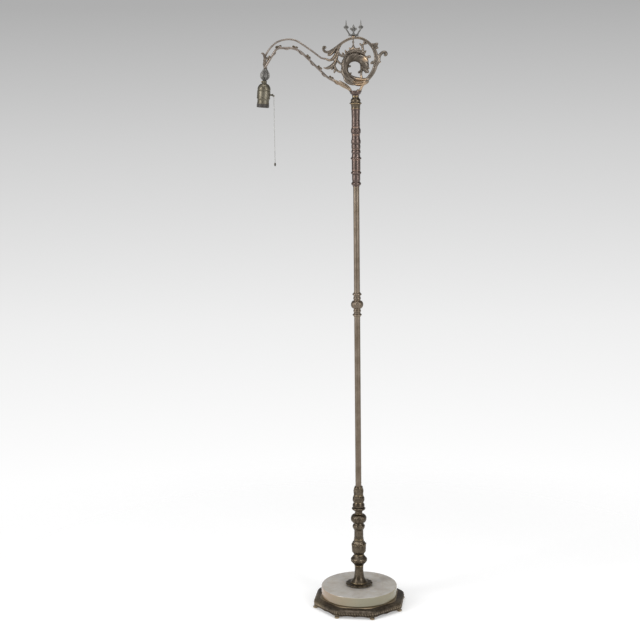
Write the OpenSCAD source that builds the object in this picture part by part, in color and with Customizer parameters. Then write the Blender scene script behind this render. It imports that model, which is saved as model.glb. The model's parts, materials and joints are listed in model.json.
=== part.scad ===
// Bridge floor lamp: a cast base with an onyx disc, a post of turned and cast pieces strung on a
// threaded pipe, and a scroll bracket with a bent arm that carries a pull-chain lamp socket.
// The origin is on the floor, on the axis of the post. +Z is up and the arm reaches towards -X.

/* [Base] */
// Radius of the cast base, over its corners
base_corner_r = 130; // [126:1:136]
// Height of the cast base, from the floor to the felt ring
base_h = 26; // [25:0.5:32]
// Wall of the cast base
base_wall = 5; // [4:0.5:7]
// Height of the feet below the skirt
foot_drop = 5.5; // [5:0.5:7]
// Radius of a foot at its widest
foot_r = 7; // [6.5:0.5:8.5]
// Rise of each small arch cut in the skirt
arch_rise = 2; // [1.5:0.25:2.5]
// Radius of the onyx disc
onyx_r = 102.5; // [90:0.5:104]
// Thickness of the onyx disc
onyx_t = 26; // [18:1:34]
// Rounding of the rims of the onyx disc
onyx_round = 2.5; // [1:0.5:5]
// Thickness of the felt ring under the onyx
felt_t = 1.2; // [0.8:0.1:2]
// Radius of the iron ballast disc in the base
ballast_r = 80; // [60:1:90]
// Thickness of the ballast disc
ballast_t = 8; // [6:0.5:8.5]
// Radius of the wire's way through the cord bushing
outlet_r = 3; // [2.8:0.1:3.4]

/* [Centre pipe] */
// Outer radius of the threaded centre pipe
pipe_r = 5.15; // [4.8:0.05:5.4]
// Inner radius of the centre pipe
pipe_bore_r = 3.5; // [3.2:0.1:3.8]
// Gap between the pipe and the pieces strung on it
pipe_fit = 0.2; // [0.15:0.05:0.3]
// Radius of the lamp wire inside the pipe
post_wire_r = 2.8; // [2.6:0.1:3]
// Hexagon of the nuts, across the flats
nut_af = 14; // [13:0.5:15]
// Thickness of the base nut
nut_t = 5; // [4:0.5:6]
// Thickness of the lock washer
washer_t = 1.5; // [1:0.1:2]
// Outer radius of the pipe coupling
coupling_r = 7.2; // [6.8:0.1:7.5]
// Length of the pipe coupling
coupling_l = 19; // [12:1:20]

/* [Stem] */
// Radius of the scalloped foot flange
flange_r = 34.5; // [32:0.5:38]
// Height of the hub of the foot flange
flange_hub_h = 7.5; // [6:0.5:10]
// Height of the flared foot bell
bell_h = 48.3; // [40:0.1:60]
// Radius of the bell's foot
bell_r = 23; // [20:0.5:26]
// Radius of the bell's waist
bell_waist_r = 11.6; // [10:0.1:13]
// Height of the lower bead
lower_bead_h = 31; // [27:1:36]
// Radius of the lower bead
lower_bead_r = 21.9; // [20:0.1:25]
// Height of the leaf collar
leaf_collar_h = 44; // [38:1:50]
// Radius of the leaf collar
leaf_collar_r = 18.8; // [17.5:0.1:21]
// Height of the fluted vase stem
vase_h = 45; // [38:1:52]
// Radius of the vase's shoulder
vase_r = 16.5; // [15:0.1:19]
// Radius of the vase's fluted neck
vase_neck_r = 12.2; // [11:0.1:13]
// Height of the oblate bead
oblate_h = 25; // [20:1:30]
// Radius of the oblate bead
oblate_r = 21; // [18:0.1:24]
// Height of the neck spool
spool_h = 10.5; // [8:0.5:14]
// Radius of the neck spool
spool_r = 10.2; // [9.5:0.1:12]
// Height of the ring collar
ring_collar_h = 22.5; // [20:0.5:28]
// Radius of the ring collar
ring_collar_r = 18; // [16.5:0.1:21]
// Height of the torus bead
torus_h = 20; // [16:1:26]
// Radius of the torus bead
torus_r = 15.8; // [15:0.1:19]
// Height of the acanthus cup
cup_h = 24; // [20:1:30]
// Radius of the acanthus cup
cup_r = 12.8; // [12:0.1:14]
// Depth to which the lower tube stands in the cup
cup_seat = 11; // [8:0.5:14]

/* [Tubes and knop] */
// Outer radius of the post tubes
tube_r = 7.95; // [7.7:0.05:8.1]
// Wall of the post tubes
tube_wall = 1; // [0.8:0.1:1.4]
// Length of the lower tube that shows
lower_tube_l = 463; // [400:1:520]
// Length of the upper tube that shows
upper_tube_l = 277; // [240:1:320]
// Depth to which a tube enters the knop or the column
tube_seat = 6; // [4:0.5:7]
// Gap between a tube and its seat
tube_fit = 0.1; // [0.05:0.05:0.2]
// Height of each end piece of the knop
knop_end_h = 22; // [20:0.5:26]
// Radius of the thin flange on the knop's ends
knop_flange_r = 12.2; // [11.5:0.1:14]
// Height of the knop's ball
knop_ball_h = 21; // [19:0.5:26]
// Radius of the knop's ball
knop_ball_r = 16; // [14:0.1:19]

/* [Upper column] */
// Height of the column's foot
column_foot_h = 42; // [38:1:50]
// Height of the low sleeve
low_sleeve_h = 28; // [22:1:36]
// Height of the middle ring
middle_ring_h = 27; // [24:1:32]
// Height of the spindle
spindle_h = 37; // [32:1:44]
// Height of the high ring
high_ring_h = 19; // [16:1:24]
// Height of the high sleeve
high_sleeve_h = 47; // [40:1:56]
// Height of the column cap
cap_h = 31; // [28:1:36]
// Radius of the column's sleeves
sleeve_r = 11; // [10:0.1:12]
// Radius of the column's rings
ring_bead_r = 13.4; // [12.8:0.1:15]
// Radius of the cap's flange
cap_r = 15.5; // [14.5:0.1:18]
// Radius of the waist under the arm
waist_r = 8.4; // [8:0.1:9.4]

/* [Swivel] */
// Thickness of the swivel washer
swivel_washer_t = 1; // [0.8:0.1:1.6]
// Running gap over the swivel washer
swivel_gap = 0.3; // [0.2:0.05:0.4]
// Running gap round the pipe in the arm's collar
swivel_fit = 0.07; // [0.05:0.01:0.1]
// Height of the arm's collar
collar_h = 13; // [12:0.5:15]
// Radius of the arm's collar
collar_r = 15.9; // [15:0.1:18]
// Thickness of the swivel nut in the collar
swivel_nut_t = 3.5; // [3:0.25:4]

/* [Arm tube] */
// Outer radius of the bent arm tube
arm_tube_r = 3; // [2.8:0.05:3.2]
// Inner radius of the arm tube
arm_bore_r = 2.1; // [1.8:0.05:2.3]
// Radius of the wire in the arm tube
arm_wire_r = 1.5; // [1.2:0.05:1.6]
// Bend radius of the arm tube over the collar
neck_bend_r = 40; // [36:1:44]
// Straight run after the neck bend
low_run = 43; // [40:1:46]
// Bend radius where the arm starts to rise
counter_bend_r = 60; // [50:1:70]
// Straight run up to the top bend
rise_run = 79; // [76:1:82]
// Bend radius up to the top of the arm
top_bend_r = 55; // [52:1:58]
// Level run along the top of the arm
top_run = 21.5; // [18:0.5:25]
// Bend radius where the arm turns down
shoulder_bend_r = 15; // [12:0.5:18]
// Straight run down to the knuckle
drop_run = 46; // [43:1:49]
// Bend radius into the knuckle
end_bend_r = 6; // [5:0.5:8]

/* [Bracket] */
// Radius of the scroll ring, to the middle of its band
ring_r = 53; // [50:0.5:56]
// Height of the ring's centre over the arm's collar
ring_rise = 78.7; // [77:0.1:82]
// Half thickness of the cast scrollwork, front to back
relief = 5; // [3.5:0.25:7]
// Height of the trident finial
trident_h = 40.5; // [37:0.5:44]
// Half width between the trident's outer prongs
trident_half_w = 18.7; // [16:0.1:21]
// Radius of the trident's prongs
prong_r = 1.8; // [1.5:0.1:2.2]

/* [Vine and bud] */
// Radius of the upper arm rod
rod_r = 2.4; // [2.2:0.1:3.2]
// Radius of the vine strand
strand_r = 1.15; // [1:0.05:1.5]
// Gap between the vine strand and the arm tube
strand_gap = 0.15; // [0.1:0.05:0.4]
// Turns of the vine round the arm tube
strand_turns = 6; // [4:1:7]
// Height of the openwork bud
bud_h = 30; // [26:1:36]
// Radius of the bud at its widest
bud_r = 9.4; // [8.5:0.1:10.5]
// Radius of the bud's ribs
bud_rib_r = 1.3; // [1:0.1:1.6]

/* [Socket] */
// Length of the socket's neck
socket_neck_h = 8; // [6:0.5:10]
// Height of the socket cap under its neck
socket_cap_h = 38; // [36:0.5:40]
// Radius of the socket cap
socket_cap_r = 17.2; // [17:0.1:19]
// Height of the socket shell that shows under the cap
socket_shell_h = 22; // [20:0.5:24]
// Radius of the socket shell
socket_shell_r = 15.1; // [15.1:0.1:15.6]
// Wall of the socket's brass
socket_wall = 0.6; // [0.5:0.05:0.7]
// Height of the dark ring at the mouth
mouth_ring_h = 9; // [6:0.5:11]
// Radius of the bulb's way into the screw shell
bulb_r = 13.2; // [13.1:0.05:13.3]
// Depth of the screw shell
screw_shell_h = 24; // [20:0.5:26]
// Length of the chain bell
bell_tube_l = 7; // [6:0.5:9]
// Radius of the chain bell's mouth
bell_mouth_r = 3.8; // [3:0.1:4.5]

/* [Pull chain] */
// Length of the hanging chain, without its bob
chain_l = 168; // [120:1:220]
// Radius of a chain ball
ball_r = 1.2; // [1:0.05:1.4]
// Distance from one chain ball to the next
ball_pitch = 4; // [3.2:0.1:5]
// Height of the bob
bob_h = 9; // [7:0.5:12]
// Radius of the bob
bob_r = 2.6; // [2.2:0.1:3.4]

/* [Hidden] */
$fn = 64;

// the base has eight sides, with its flats facing the front, the back and the sides
sides = 8;
corner_turn = 180/sides;
seat_h = 6;
foot_inset = 7;
pipe_bottom = base_h - seat_h - ballast_t - washer_t - nut_t - 1.5;
bore_r = pipe_r + pipe_fit;

// heights up the post, each piece standing on the one below
felt_z = base_h;
onyx_z = felt_z + felt_t;
flange_z = onyx_z + onyx_t;
bell_z = flange_z + flange_hub_h;
lower_bead_z = bell_z + bell_h;
leaf_collar_z = lower_bead_z + lower_bead_h;
vase_z = leaf_collar_z + leaf_collar_h;
oblate_z = vase_z + vase_h;
spool_z = oblate_z + oblate_h;
ring_collar_z = spool_z + spool_h;
torus_z = ring_collar_z + ring_collar_h;
cup_z = torus_z + torus_h;
lower_tube_z = cup_z + cup_h;
knop_z = lower_tube_z + lower_tube_l;
knop_ball_z = knop_z + knop_end_h;
knop_top_z = knop_ball_z + knop_ball_h;
upper_tube_z = knop_top_z + knop_end_h;
column_z = upper_tube_z + upper_tube_l;
low_sleeve_z = column_z + column_foot_h;
middle_ring_z = low_sleeve_z + low_sleeve_h;
spindle_z = middle_ring_z + middle_ring_h;
high_ring_z = spindle_z + spindle_h;
high_sleeve_z = high_ring_z + high_ring_h;
cap_z = high_sleeve_z + high_sleeve_h;
swivel_z = cap_z + cap_h;
arm_z = swivel_z + swivel_washer_t + swivel_gap;
pipe_joint_z = knop_ball_z + knop_ball_h/2;

// the collar's floor carries the swivel nut, and its roof holds the arm tube
collar_floor = 5;
collar_roof = 2.5;
pipe_top = arm_z + collar_floor + swivel_gap + swivel_nut_t + 0.5;

// bends of the arm tube, each [radius, angle], and straight runs, each [length, 0];
// the heading is measured up from the -X direction
start_heading = 48;
low_heading = 27;
rise_heading = 44;
drop_heading = -57;
end_heading = -85;
stub = 4;
end_stub = 2.5;
arm_bends = [
    [stub, 0],
    [neck_bend_r, low_heading - start_heading],
    [low_run, 0],
    [counter_bend_r, rise_heading - low_heading],
    [rise_run, 0],
    [top_bend_r, -rise_heading],
    [top_run, 0],
    [shoulder_bend_r, drop_heading],
    [drop_run, 0],
    [end_bend_r, end_heading - drop_heading],
    [end_stub, 0]];
arm_start = [-10.5, collar_h - collar_roof - 0.2];

// length of one bend or run
function run_length(b) = b[1] == 0 ? b[0] : b[0]*abs(b[1])*PI/180;
// [x, z, heading] after the length s of one bend or run, from the state p
function along(b, p, s) =
    b[1] == 0 ? [p[0] - s*cos(p[2]), p[1] + s*sin(p[2]), p[2]] :
    let (turn = sign(b[1]), h = p[2] + turn*s/b[0]*180/PI)
    [p[0] - turn*b[0]*(sin(h) - sin(p[2])), p[1] - turn*b[0]*(cos(h) - cos(p[2])), h];
// state at the start of bend number i
function state(i) = i == 0 ? [arm_start[0], arm_start[1], start_heading] :
    along(arm_bends[i - 1], state(i - 1), run_length(arm_bends[i - 1]));
// length of the arm tube before bend number i
function length_before(i) = i == 0 ? 0 : length_before(i - 1) + run_length(arm_bends[i - 1]);
// state at the length s along the whole arm tube
function arm_at(s, i = 0) = i == len(arm_bends) - 1 || s <= length_before(i + 1) ?
    along(arm_bends[i], state(i), s - length_before(i)) : arm_at(s, i + 1);

arm_length = length_before(len(arm_bends));
arm_end = state(len(arm_bends));
drop_tilt = 90 + end_heading;

// the bud and the socket hang on a tilted axis from the end of the arm tube, measured downwards
knuckle_drop = 1;
socket_drop = knuckle_drop + bud_h;
cap_drop = socket_drop + socket_neck_h;
shell_drop = cap_drop + socket_cap_h;
mouth_drop = shell_drop + socket_shell_h;
bell_drop = cap_drop + socket_cap_h*0.72;
// the switch body fills the middle of the socket, over the screw shell
switch_h = 18;
switch_drop = mouth_drop - 0.5 - screw_shell_h;
switch_top = switch_drop - switch_h;
wire_end_drop = switch_top - 0.3;

// centre of the scroll ring in the arm's frame, and the scale of the scrollwork
ring_x = -1;
ring_z = collar_h + ring_rise;
ring_k = ring_r/53;
finial_x = -4;
finial_pad_z = ring_z + ring_r + 5;

// place of the chain bell's mouth in the arm's frame
bell_reach = socket_cap_r + bell_tube_l + 0.4;
link_r = ball_r + 0.5;
chain_gap = 0.4;
chain_x = arm_end[0] - bell_drop*sin(drop_tilt) + bell_reach*cos(drop_tilt) + link_r + chain_gap;
chain_z = arm_end[1] - bell_drop*cos(drop_tilt) - bell_reach*sin(drop_tilt);
link_h = 5;
link_gap = 0.6;

// ---------- outlines of turned pieces: lists of [radius, height], going up ----------

function bead(z0, z1, r_in, r_out, n = 8) =
    [for (i = [0:n]) [r_in + (r_out - r_in)*sin(180*i/n), z0 + (z1 - z0)*(1 - cos(180*i/n))/2]];
function flare(z0, z1, r0, r1, power = 2, n = 6) =
    [for (i = [0:n]) [r0 + (r1 - r0)*pow(i/n, power), z0 + (z1 - z0)*i/n]];
function swell(z0, z1, r0, r1, n = 6) =
    [for (i = [0:n]) let (t = i/n) [r0 + (r1 - r0)*t*t*(3 - 2*t), z0 + (z1 - z0)*t]];
function no_repeats(p) =
    [for (i = [0:len(p) - 1]) if (i == 0 || norm(p[i] - p[max(i - 1, 0)]) > 0.02) p[i]];

// a turned piece with a straight bore, its outline running from the bottom to the top
module turned(outline, bore = bore_r) {
    p = no_repeats(outline);
    rotate_extrude()
        polygon(concat([[bore, p[0][1]]], p, [[bore, p[len(p) - 1][1]]]));
}
module at(z) translate([0, 0, z]) children();
module ring_of(n, turn = 0) for (i = [0:n - 1]) rotate([0, 0, turn + i*360/n]) children();
module hex_nut(af, t, bore) difference() {
    cylinder(r = af/2/cos(30), h = t, $fn = 6);
    at(-1) cylinder(r = bore, h = t + 2);
}
// vertical flutes cut round a stem
module flutes(n, depth, r, cutter_r, z0, z1)
    ring_of(n) translate([r + cutter_r - depth, 0, z0]) cylinder(r = cutter_r, h = z1 - z0);

// ---------- swept scrollwork: each path point is [x, y, z, half width, half thickness] ----------

function blend_pt(a, b, c, d, t) =
    0.5*(2*b + (c - a)*t + (2*a - 5*b + 4*c - d)*t*t + (3*b - a - 3*c + d)*t*t*t);
function smooth(p, k) = let (n = len(p)) concat(
    [for (i = [0:n - 2], j = [0:k - 1])
        blend_pt(p[max(i - 1, 0)], p[i], p[i + 1], p[min(i + 2, n - 1)], j/k)], [p[n - 1]]);
function xyz(p) = [p[0], p[1], p[2]];
function unit(v) = v/norm(v);
// one ring of points round the path, with long ridges where ridge is above 0
function section(q, i, s, ridge) =
    let (n = len(q), t = unit(xyz(q[min(i + 1, n - 1)]) - xyz(q[max(i - 1, 0)])),
        across = unit(cross(t, [0, 1, 0])), deep = cross(across, t))
    [for (j = [0:s - 1]) let (a = 360*j/s, w = 1 - ridge*(1 - cos(a*s/2))/2)
        xyz(q[i]) + w*(q[i][3]*cos(a)*across + q[i][4]*sin(a)*deep)];
module sweep(q, s = 8, ridge = 0) {
    n = len(q);
    points = [for (i = [0:n - 1]) each section(q, i, s, ridge)];
    walls = [for (i = [0:n - 2], j = [0:s - 1])
        let (a = i*s + j, b = i*s + (j + 1)%s) each [[a, b, b + s], [a, b + s, a + s]]];
    polyhedron(points, concat(walls, [[for (j = [0:s - 1]) s - 1 - j]],
        [[for (j = [0:s - 1]) (n - 1)*s + j]]), convexity = 6);
}
// a point of the bracket, given from the ring's centre, with its half width and share of the relief
function rp(x, z, w, d = 1) = [ring_x + ring_k*x, 0, ring_z + ring_k*z, w, relief*d];
module strap(p, k = 3, s = 8, ridge = 0) sweep(smooth(p, k), s, ridge);
// a small leaf from a to b, both [x, y, z]
module leaf(a, b, w, t) hull() {
    translate(a) scale([1, t/w, 1]) sphere(w*0.5, $fn = 6);
    translate(0.55*a + 0.45*b) scale([1, t/w, 1]) sphere(w, $fn = 8);
    translate(b) sphere(0.5, $fn = 4);
}

// ---------- base ----------

module base_casting() color("#3b3a35") difference() {
    union() {
        difference() {
            rotate([0, 0, corner_turn]) rotate_extrude($fn = sides) polygon(
                [[base_corner_r - base_wall - 4, foot_drop], [base_corner_r - 2.5, foot_drop],
                [base_corner_r - 1, foot_drop + 1.2], [base_corner_r - 1, foot_drop + 2.6],
                [base_corner_r - 2, foot_drop + 3.6], [base_corner_r, base_h - 11.7],
                [base_corner_r - 0.5, base_h - 8.6], [base_corner_r - 3, base_h - 5.8],
                [base_corner_r - 7.5, base_h - 3.4], [base_corner_r - 13, base_h - 2.2],
                [base_corner_r - 18, base_h - 1.8], [base_corner_r - 20, base_h],
                [0, base_h], [0, base_h - seat_h], [base_corner_r - 24 - base_wall, base_h - seat_h],
                [base_corner_r - base_wall - 6, base_h - 12]]);
            // two shallow arches in each side of the skirt
            for (i = [0:sides - 1], s = [-1, 1]) rotate([0, 0, i*360/sides])
                translate([base_corner_r - 35, s*(arch_half + arch_gap/2), foot_drop + arch_rise - arch_r])
                    rotate([0, 90, 0]) cylinder(r = arch_r, h = 50);
        }
        ring_of(sides, corner_turn) translate([base_corner_r - foot_inset, 0, 0])
            turned(concat([[foot_r - 3, 0]], bead(0, foot_drop, foot_r - 3, foot_r, 6),
                [[foot_r - 3, foot_drop + 4]]), 0);
    }
    at(-1) cylinder(r = bore_r, h = base_h + 2);
    // the cord's hole, with a flat seat for its bushing
    translate([0, outlet_y, outlet_z]) rotate([-90, 0, 0]) {
        at(-20) cylinder(r = outlet_r + 1.6, h = 30);
        cylinder(r = outlet_r + 3, h = 30);
    }
}
arch_half = 17;
arch_gap = 2;
arch_r = (arch_half*arch_half + arch_rise*arch_rise)/(2*arch_rise);
outlet_y = (base_corner_r - 5)*cos(corner_turn);
outlet_z = foot_drop + 7.5;

module cord_bushing() color("#1c1a18") translate([0, outlet_y, outlet_z]) rotate([-90, 0, 0])
    difference() {
        union() {
            at(-base_wall - 1) cylinder(r = outlet_r + 1.5, h = base_wall + 2);
            at(0.05) cylinder(r = outlet_r + 2.7, h = 2);
        }
        at(-base_wall - 2) cylinder(r = outlet_r, h = base_wall + 6);
    }
module felt_ring() color("#4a4438") at(felt_z) difference() {
    cylinder(r = onyx_r - 3, h = felt_t);
    at(-1) cylinder(r = onyx_r - 25, h = felt_t + 2);
}
module onyx_disc() color("#bdb7a8") at(onyx_z) turned(concat(
    [for (a = [0:15:90]) [onyx_r - onyx_round*(1 - sin(a)), onyx_round*(1 - cos(a))]],
    [for (a = [0:15:90]) [onyx_r - onyx_round*(1 - cos(a)), onyx_t - onyx_round*(1 - sin(a))]]));
module ballast_disc() color("#2b2b2b") at(base_h - seat_h - ballast_t) difference() {
    cylinder(r = ballast_r, h = ballast_t);
    at(-1) cylinder(r = bore_r, h = ballast_t + 2);
}
module lock_washer() color("#8a8a86") at(base_h - seat_h - ballast_t - washer_t) difference() {
    cylinder(r = nut_af/2 + 4, h = washer_t);
    at(-1) cylinder(r = bore_r, h = washer_t + 2);
}
module base_nut() color("#8d8468") at(base_h - seat_h - ballast_t - washer_t - nut_t)
    hex_nut(nut_af, nut_t, pipe_r + 0.05);

// ---------- centre pipe and wire ----------

module pipe(z0, z1) at(z0) difference() {
    cylinder(r = pipe_r, h = z1 - z0);
    at(-1) cylinder(r = pipe_bore_r, h = z1 - z0 + 2);
}
module lower_pipe() color("#8c8c88") pipe(pipe_bottom, pipe_joint_z - 0.5);
module upper_pipe() color("#8c8c88") pipe(pipe_joint_z + 0.5, pipe_top);
module pipe_coupling() color("#9a8a55") at(pipe_joint_z - coupling_l/2) difference() {
    cylinder(r = coupling_r, h = coupling_l);
    at(-1) cylinder(r = pipe_r + 0.05, h = coupling_l + 2);
}
module post_wire() color("#5a3a1c") at(pipe_bottom) cylinder(r = post_wire_r, h = pipe_top - pipe_bottom);

// ---------- stem ----------

module foot_flange() color("#3a3226") at(flange_z) intersection() {
    turned(concat([[flange_r*0.68, 0]], flare(1, flange_hub_h + 3.5, flange_r*0.7, flange_r, 0.6),
        [[flange_r, flange_hub_h + 5], [flange_r - 2.5, flange_hub_h + 5]],
        [[flange_r - 8, flange_hub_h + 1.5], [bell_r + 1.5, flange_hub_h]]));
    // the scalloped rim
    linear_extrude(flange_hub_h + 6) union() {
        circle(flange_r*0.93);
        ring_of(petals) translate([flange_r*0.88, 0]) circle(flange_r*0.12);
    }
}
petals = 16;

module foot_bell() color("#4a3b26") at(bell_z) turned(concat(
    [[bell_r, 0], [bell_r, 1.5]],
    [for (i = [0:8]) [bell_waist_r + 1.2 + (bell_r - bell_waist_r - 2)*pow(1 - i/8, 2.2),
        2 + bell_h*0.42*i/8]],
    swell(bell_h*0.5, bell_h*0.75, bell_waist_r + 0.9, bell_waist_r),
    flare(bell_h*0.85, bell_h, bell_waist_r, bell_waist_r + 1)));
module lower_bead() color("#4b3d28") at(lower_bead_z)
    turned(concat([[bell_waist_r + 0.9, 0]], swell(0.6, lower_bead_h*0.46, bell_waist_r + 1, lower_bead_r, 8),
        swell(lower_bead_h*0.52, lower_bead_h - 0.8, lower_bead_r, 13.8, 8), [[13.8, lower_bead_h]]));
module leaf_collar() color("#514128") at(leaf_collar_z) difference() {
    turned(concat([[13.8, 0], [14.2, 1]], swell(1.8, leaf_collar_h*0.22, 14.6, leaf_collar_r - 0.4),
        [[leaf_collar_r, leaf_collar_h*0.54], [leaf_collar_r + 0.9, leaf_collar_h*0.64]],
        [[leaf_collar_r + 0.4, leaf_collar_h*0.675]],
        swell(leaf_collar_h*0.7, leaf_collar_h*0.88, leaf_collar_r - 1.6, 14),
        [[13, leaf_collar_h]]));
    flutes(8, 2.2, leaf_collar_r, 4, 3, leaf_collar_h*0.76);
}
module vase_stem() color("#4e3f28") at(vase_z) difference() {
    turned(concat([[vase_neck_r + 0.8, 0], [vase_neck_r + 0.8, 2]],
        [[vase_neck_r, 3], [vase_neck_r, vase_h*0.48]],
        swell(vase_h*0.5, vase_h*0.76, vase_neck_r + 0.1, vase_r),
        swell(vase_h*0.8, vase_h, vase_r, vase_neck_r)));
    flutes(12, 0.9, vase_neck_r, 1.4, 4.5, vase_h*0.6);
}
module oblate_bead() color("#57452a") at(oblate_z)
    turned(concat(bead(0, oblate_h*0.94, vase_neck_r, oblate_r, 12), [[spool_r + 0.4, oblate_h]]));
module neck_spool() color("#4a3b26") at(spool_z) turned(concat(
    flare(0, spool_h*0.35, spool_r + 0.8, spool_r, 0.6, 3),
    flare(spool_h*0.65, spool_h, spool_r, spool_r + 0.9, 2, 3)));
module ring_collar() color("#57452a") at(ring_collar_z) turned(concat(
    bead(0, 8.5, spool_r + 3, ring_collar_r), bead(8.8, 17.5, ring_collar_r - 3.4, ring_collar_r - 1.8),
    flare(18, ring_collar_h, ring_collar_r - 3.2, ring_collar_r - 5, 0.7)));
module torus_bead() color("#4e3f28") at(torus_z)
    turned(concat(bead(0, torus_h*0.8, 13, torus_r, 10), swell(torus_h*0.85, torus_h, 13.4, 12.8, 3)));
module acanthus_cup() color("#57452a") at(cup_z) difference() {
    turned(concat([[cup_r, 0]], swell(1, cup_h*0.5, cup_r - 0.6, cup_r),
        flare(cup_h*0.55, cup_h*0.9, cup_r - 0.2, tube_r + 2.4, 1.3), [[tube_r + 2.8, cup_h*0.94]],
        [[tube_r + 2.3, cup_h]]));
    at(cup_h - cup_seat) cylinder(r = tube_r + tube_fit, h = cup_seat + 1);
    // gaps between the leaves round the cup
    ring_of(6) translate([cup_r + 1.6, 0, cup_h*0.3]) cylinder(r = 2.4, h = cup_h);
}

// ---------- tubes and knop ----------

module tube(z0, z1) at(z0) difference() {
    cylinder(r = tube_r, h = z1 - z0);
    at(-1) cylinder(r = tube_r - tube_wall, h = z1 - z0 + 2);
}
module lower_tube() color("#6b5635") tube(lower_tube_z - cup_seat, knop_z + tube_seat);
module upper_tube() color("#6b5635") tube(upper_tube_z - tube_seat, column_z + tube_seat);
neck_r = tube_r + 0.95;
// an end piece of the knop, with its tube seat at the bottom
module knop_end() difference() {
    turned(concat([[neck_r + 0.1, 0], [neck_r + 0.1, 1.5]], bead(2.5, 8, neck_r, knop_flange_r, 6),
        [[neck_r, 9]], swell(10, 12, neck_r, neck_r, 2), bead(13, 19, neck_r, neck_r + 1.2, 6),
        [[neck_r, knop_end_h]]));
    at(-1) cylinder(r = tube_r + tube_fit, h = tube_seat + 1);
}
module knop_lower_end() color("#5c4a2e") at(knop_z) knop_end();
module knop_ball() color("#5f4b2d") at(knop_ball_z)
    turned(bead(0, knop_ball_h, neck_r, knop_ball_r, 12), coupling_r + 0.1);
module knop_upper_end() color("#5c4a2e") at(knop_top_z + knop_end_h) mirror([0, 0, 1]) knop_end();

// ---------- upper column ----------

module column_foot() color("#5a4028") at(column_z) difference() {
    turned(concat([[neck_r, 0], [neck_r, 2.5]], bead(3, 12, neck_r + 0.6, sleeve_r + 1.3),
        [[sleeve_r - 1, 13]], swell(15, 18, sleeve_r - 0.8, sleeve_r - 0.3, 3),
        [[sleeve_r - 0.3, column_foot_h - 13]],
        bead(column_foot_h - 10, column_foot_h - 3, sleeve_r - 0.2, ring_bead_r),
        [[sleeve_r + 0.1, column_foot_h]]));
    at(-1) cylinder(r = tube_r + tube_fit, h = tube_seat + 1);
}
module low_sleeve() color("#6b432d") at(low_sleeve_z) turned([[sleeve_r + 0.3, 0],
    [sleeve_r + 0.3, low_sleeve_h*0.48], [sleeve_r - 0.1, low_sleeve_h*0.5],
    [sleeve_r + 0.3, low_sleeve_h*0.52], [sleeve_r + 0.3, low_sleeve_h]]);
module middle_ring() color("#5a4028") at(middle_ring_z) turned(concat(
    bead(0, 5.5, sleeve_r + 0.4, ring_bead_r + 0.2), swell(6.5, 14, sleeve_r + 0.2, sleeve_r - 0.5),
    bead(15, middle_ring_h - 3, sleeve_r - 0.4, sleeve_r + 1), [[sleeve_r - 0.2, middle_ring_h]]));
module spindle() color("#6b432d") at(spindle_z) turned(concat(
    bead(0, 11, sleeve_r, sleeve_r + 0.7), bead(12.5, 24, sleeve_r, sleeve_r + 1.4),
    swell(25, spindle_h*0.86, sleeve_r, sleeve_r - 0.6), [[sleeve_r - 0.1, spindle_h]]));
module high_ring() color("#5a4028") at(high_ring_z) turned(concat(
    [[sleeve_r, 0]], bead(2, high_ring_h - 4, sleeve_r, ring_bead_r - 0.9), [[sleeve_r - 0.3, high_ring_h]]));
module high_sleeve() color("#6b432d") at(high_sleeve_z) turned(concat(
    bead(0, 9, sleeve_r - 0.7, sleeve_r - 0.1), bead(9.5, 18, sleeve_r - 0.7, sleeve_r - 0.1),
    swell(19, high_sleeve_h*0.9, sleeve_r - 0.6, sleeve_r + 0.2),
    bead(high_sleeve_h*0.92, high_sleeve_h, sleeve_r + 0.2, sleeve_r + 0.9)));
module column_cap() color("#5a4028") at(cap_z) turned(concat(
    [[sleeve_r + 0.6, 0]], flare(2, 11, sleeve_r + 0.4, cap_r - 2.4), bead(11.2, 15, cap_r - 2.4, cap_r, 6),
    [[cap_r - 2.6, 16]], bead(17, 22, cap_r - 3.4, cap_r - 2.8, 4),
    swell(22.5, cap_h - 3, cap_r - 3.6, waist_r), [[waist_r, cap_h]]));

// ---------- swivel ----------

module swivel_washer() color("#a58a4e") at(swivel_z) difference() {
    cylinder(r = waist_r + 0.6, h = swivel_washer_t);
    at(-1) cylinder(r = bore_r, h = swivel_washer_t + 2);
}
module swivel_nut() color("#8d8468") at(arm_z + collar_floor + swivel_gap)
    hex_nut(nut_af, swivel_nut_t, pipe_r + 0.05);
module in_arm() at(arm_z) children();
module arm_collar() color("#4f3c27") in_arm() difference() {
    turned(concat([[waist_r + 0.9, 0]], swell(1, 3, waist_r + 0.9, waist_r + 1.8, 3),
        flare(3.5, 7.5, collar_r - 4.5, collar_r - 1.8, 0.5, 4), [[collar_r - 1.6, 9]],
        bead(9.3, collar_h, collar_r - 1, collar_r, 6)), 0);
    at(-1) cylinder(r = pipe_r + swivel_fit, h = collar_floor + 2);
    at(collar_floor) cylinder(r = nut_af/2/cos(30) + 1, h = collar_h - collar_floor - collar_roof);
    on_arm(0) at(-2) cylinder(r = arm_tube_r + 0.1, h = 9);
}

// ---------- arm tube and its wire ----------

// puts its children, made along +Z, on the arm tube at the length s
module on_arm(s) {
    p = arm_at(s);
    translate([p[0], 0, p[1]]) rotate([0, p[2] - 90, 0]) children();
}
// the rings that a bar needs to follow the arm: a few in each bend, one at each straight run's ends
function bend_rings(b) = b[1] == 0 ? 1 : ceil(abs(b[1])/9);
arm_rings = concat([for (i = [0:len(arm_bends) - 1], j = [0:bend_rings(arm_bends[i]) - 1])
    along(arm_bends[i], state(i), run_length(arm_bends[i])*j/bend_rings(arm_bends[i]))], [arm_end]);
function arm_ring(p, r, s) = [for (j = [0:s - 1]) let (a = 360*j/s)
    [p[0] - r*cos(a)*sin(p[2]), r*sin(a), p[1] - r*cos(a)*cos(p[2])]];
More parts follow.
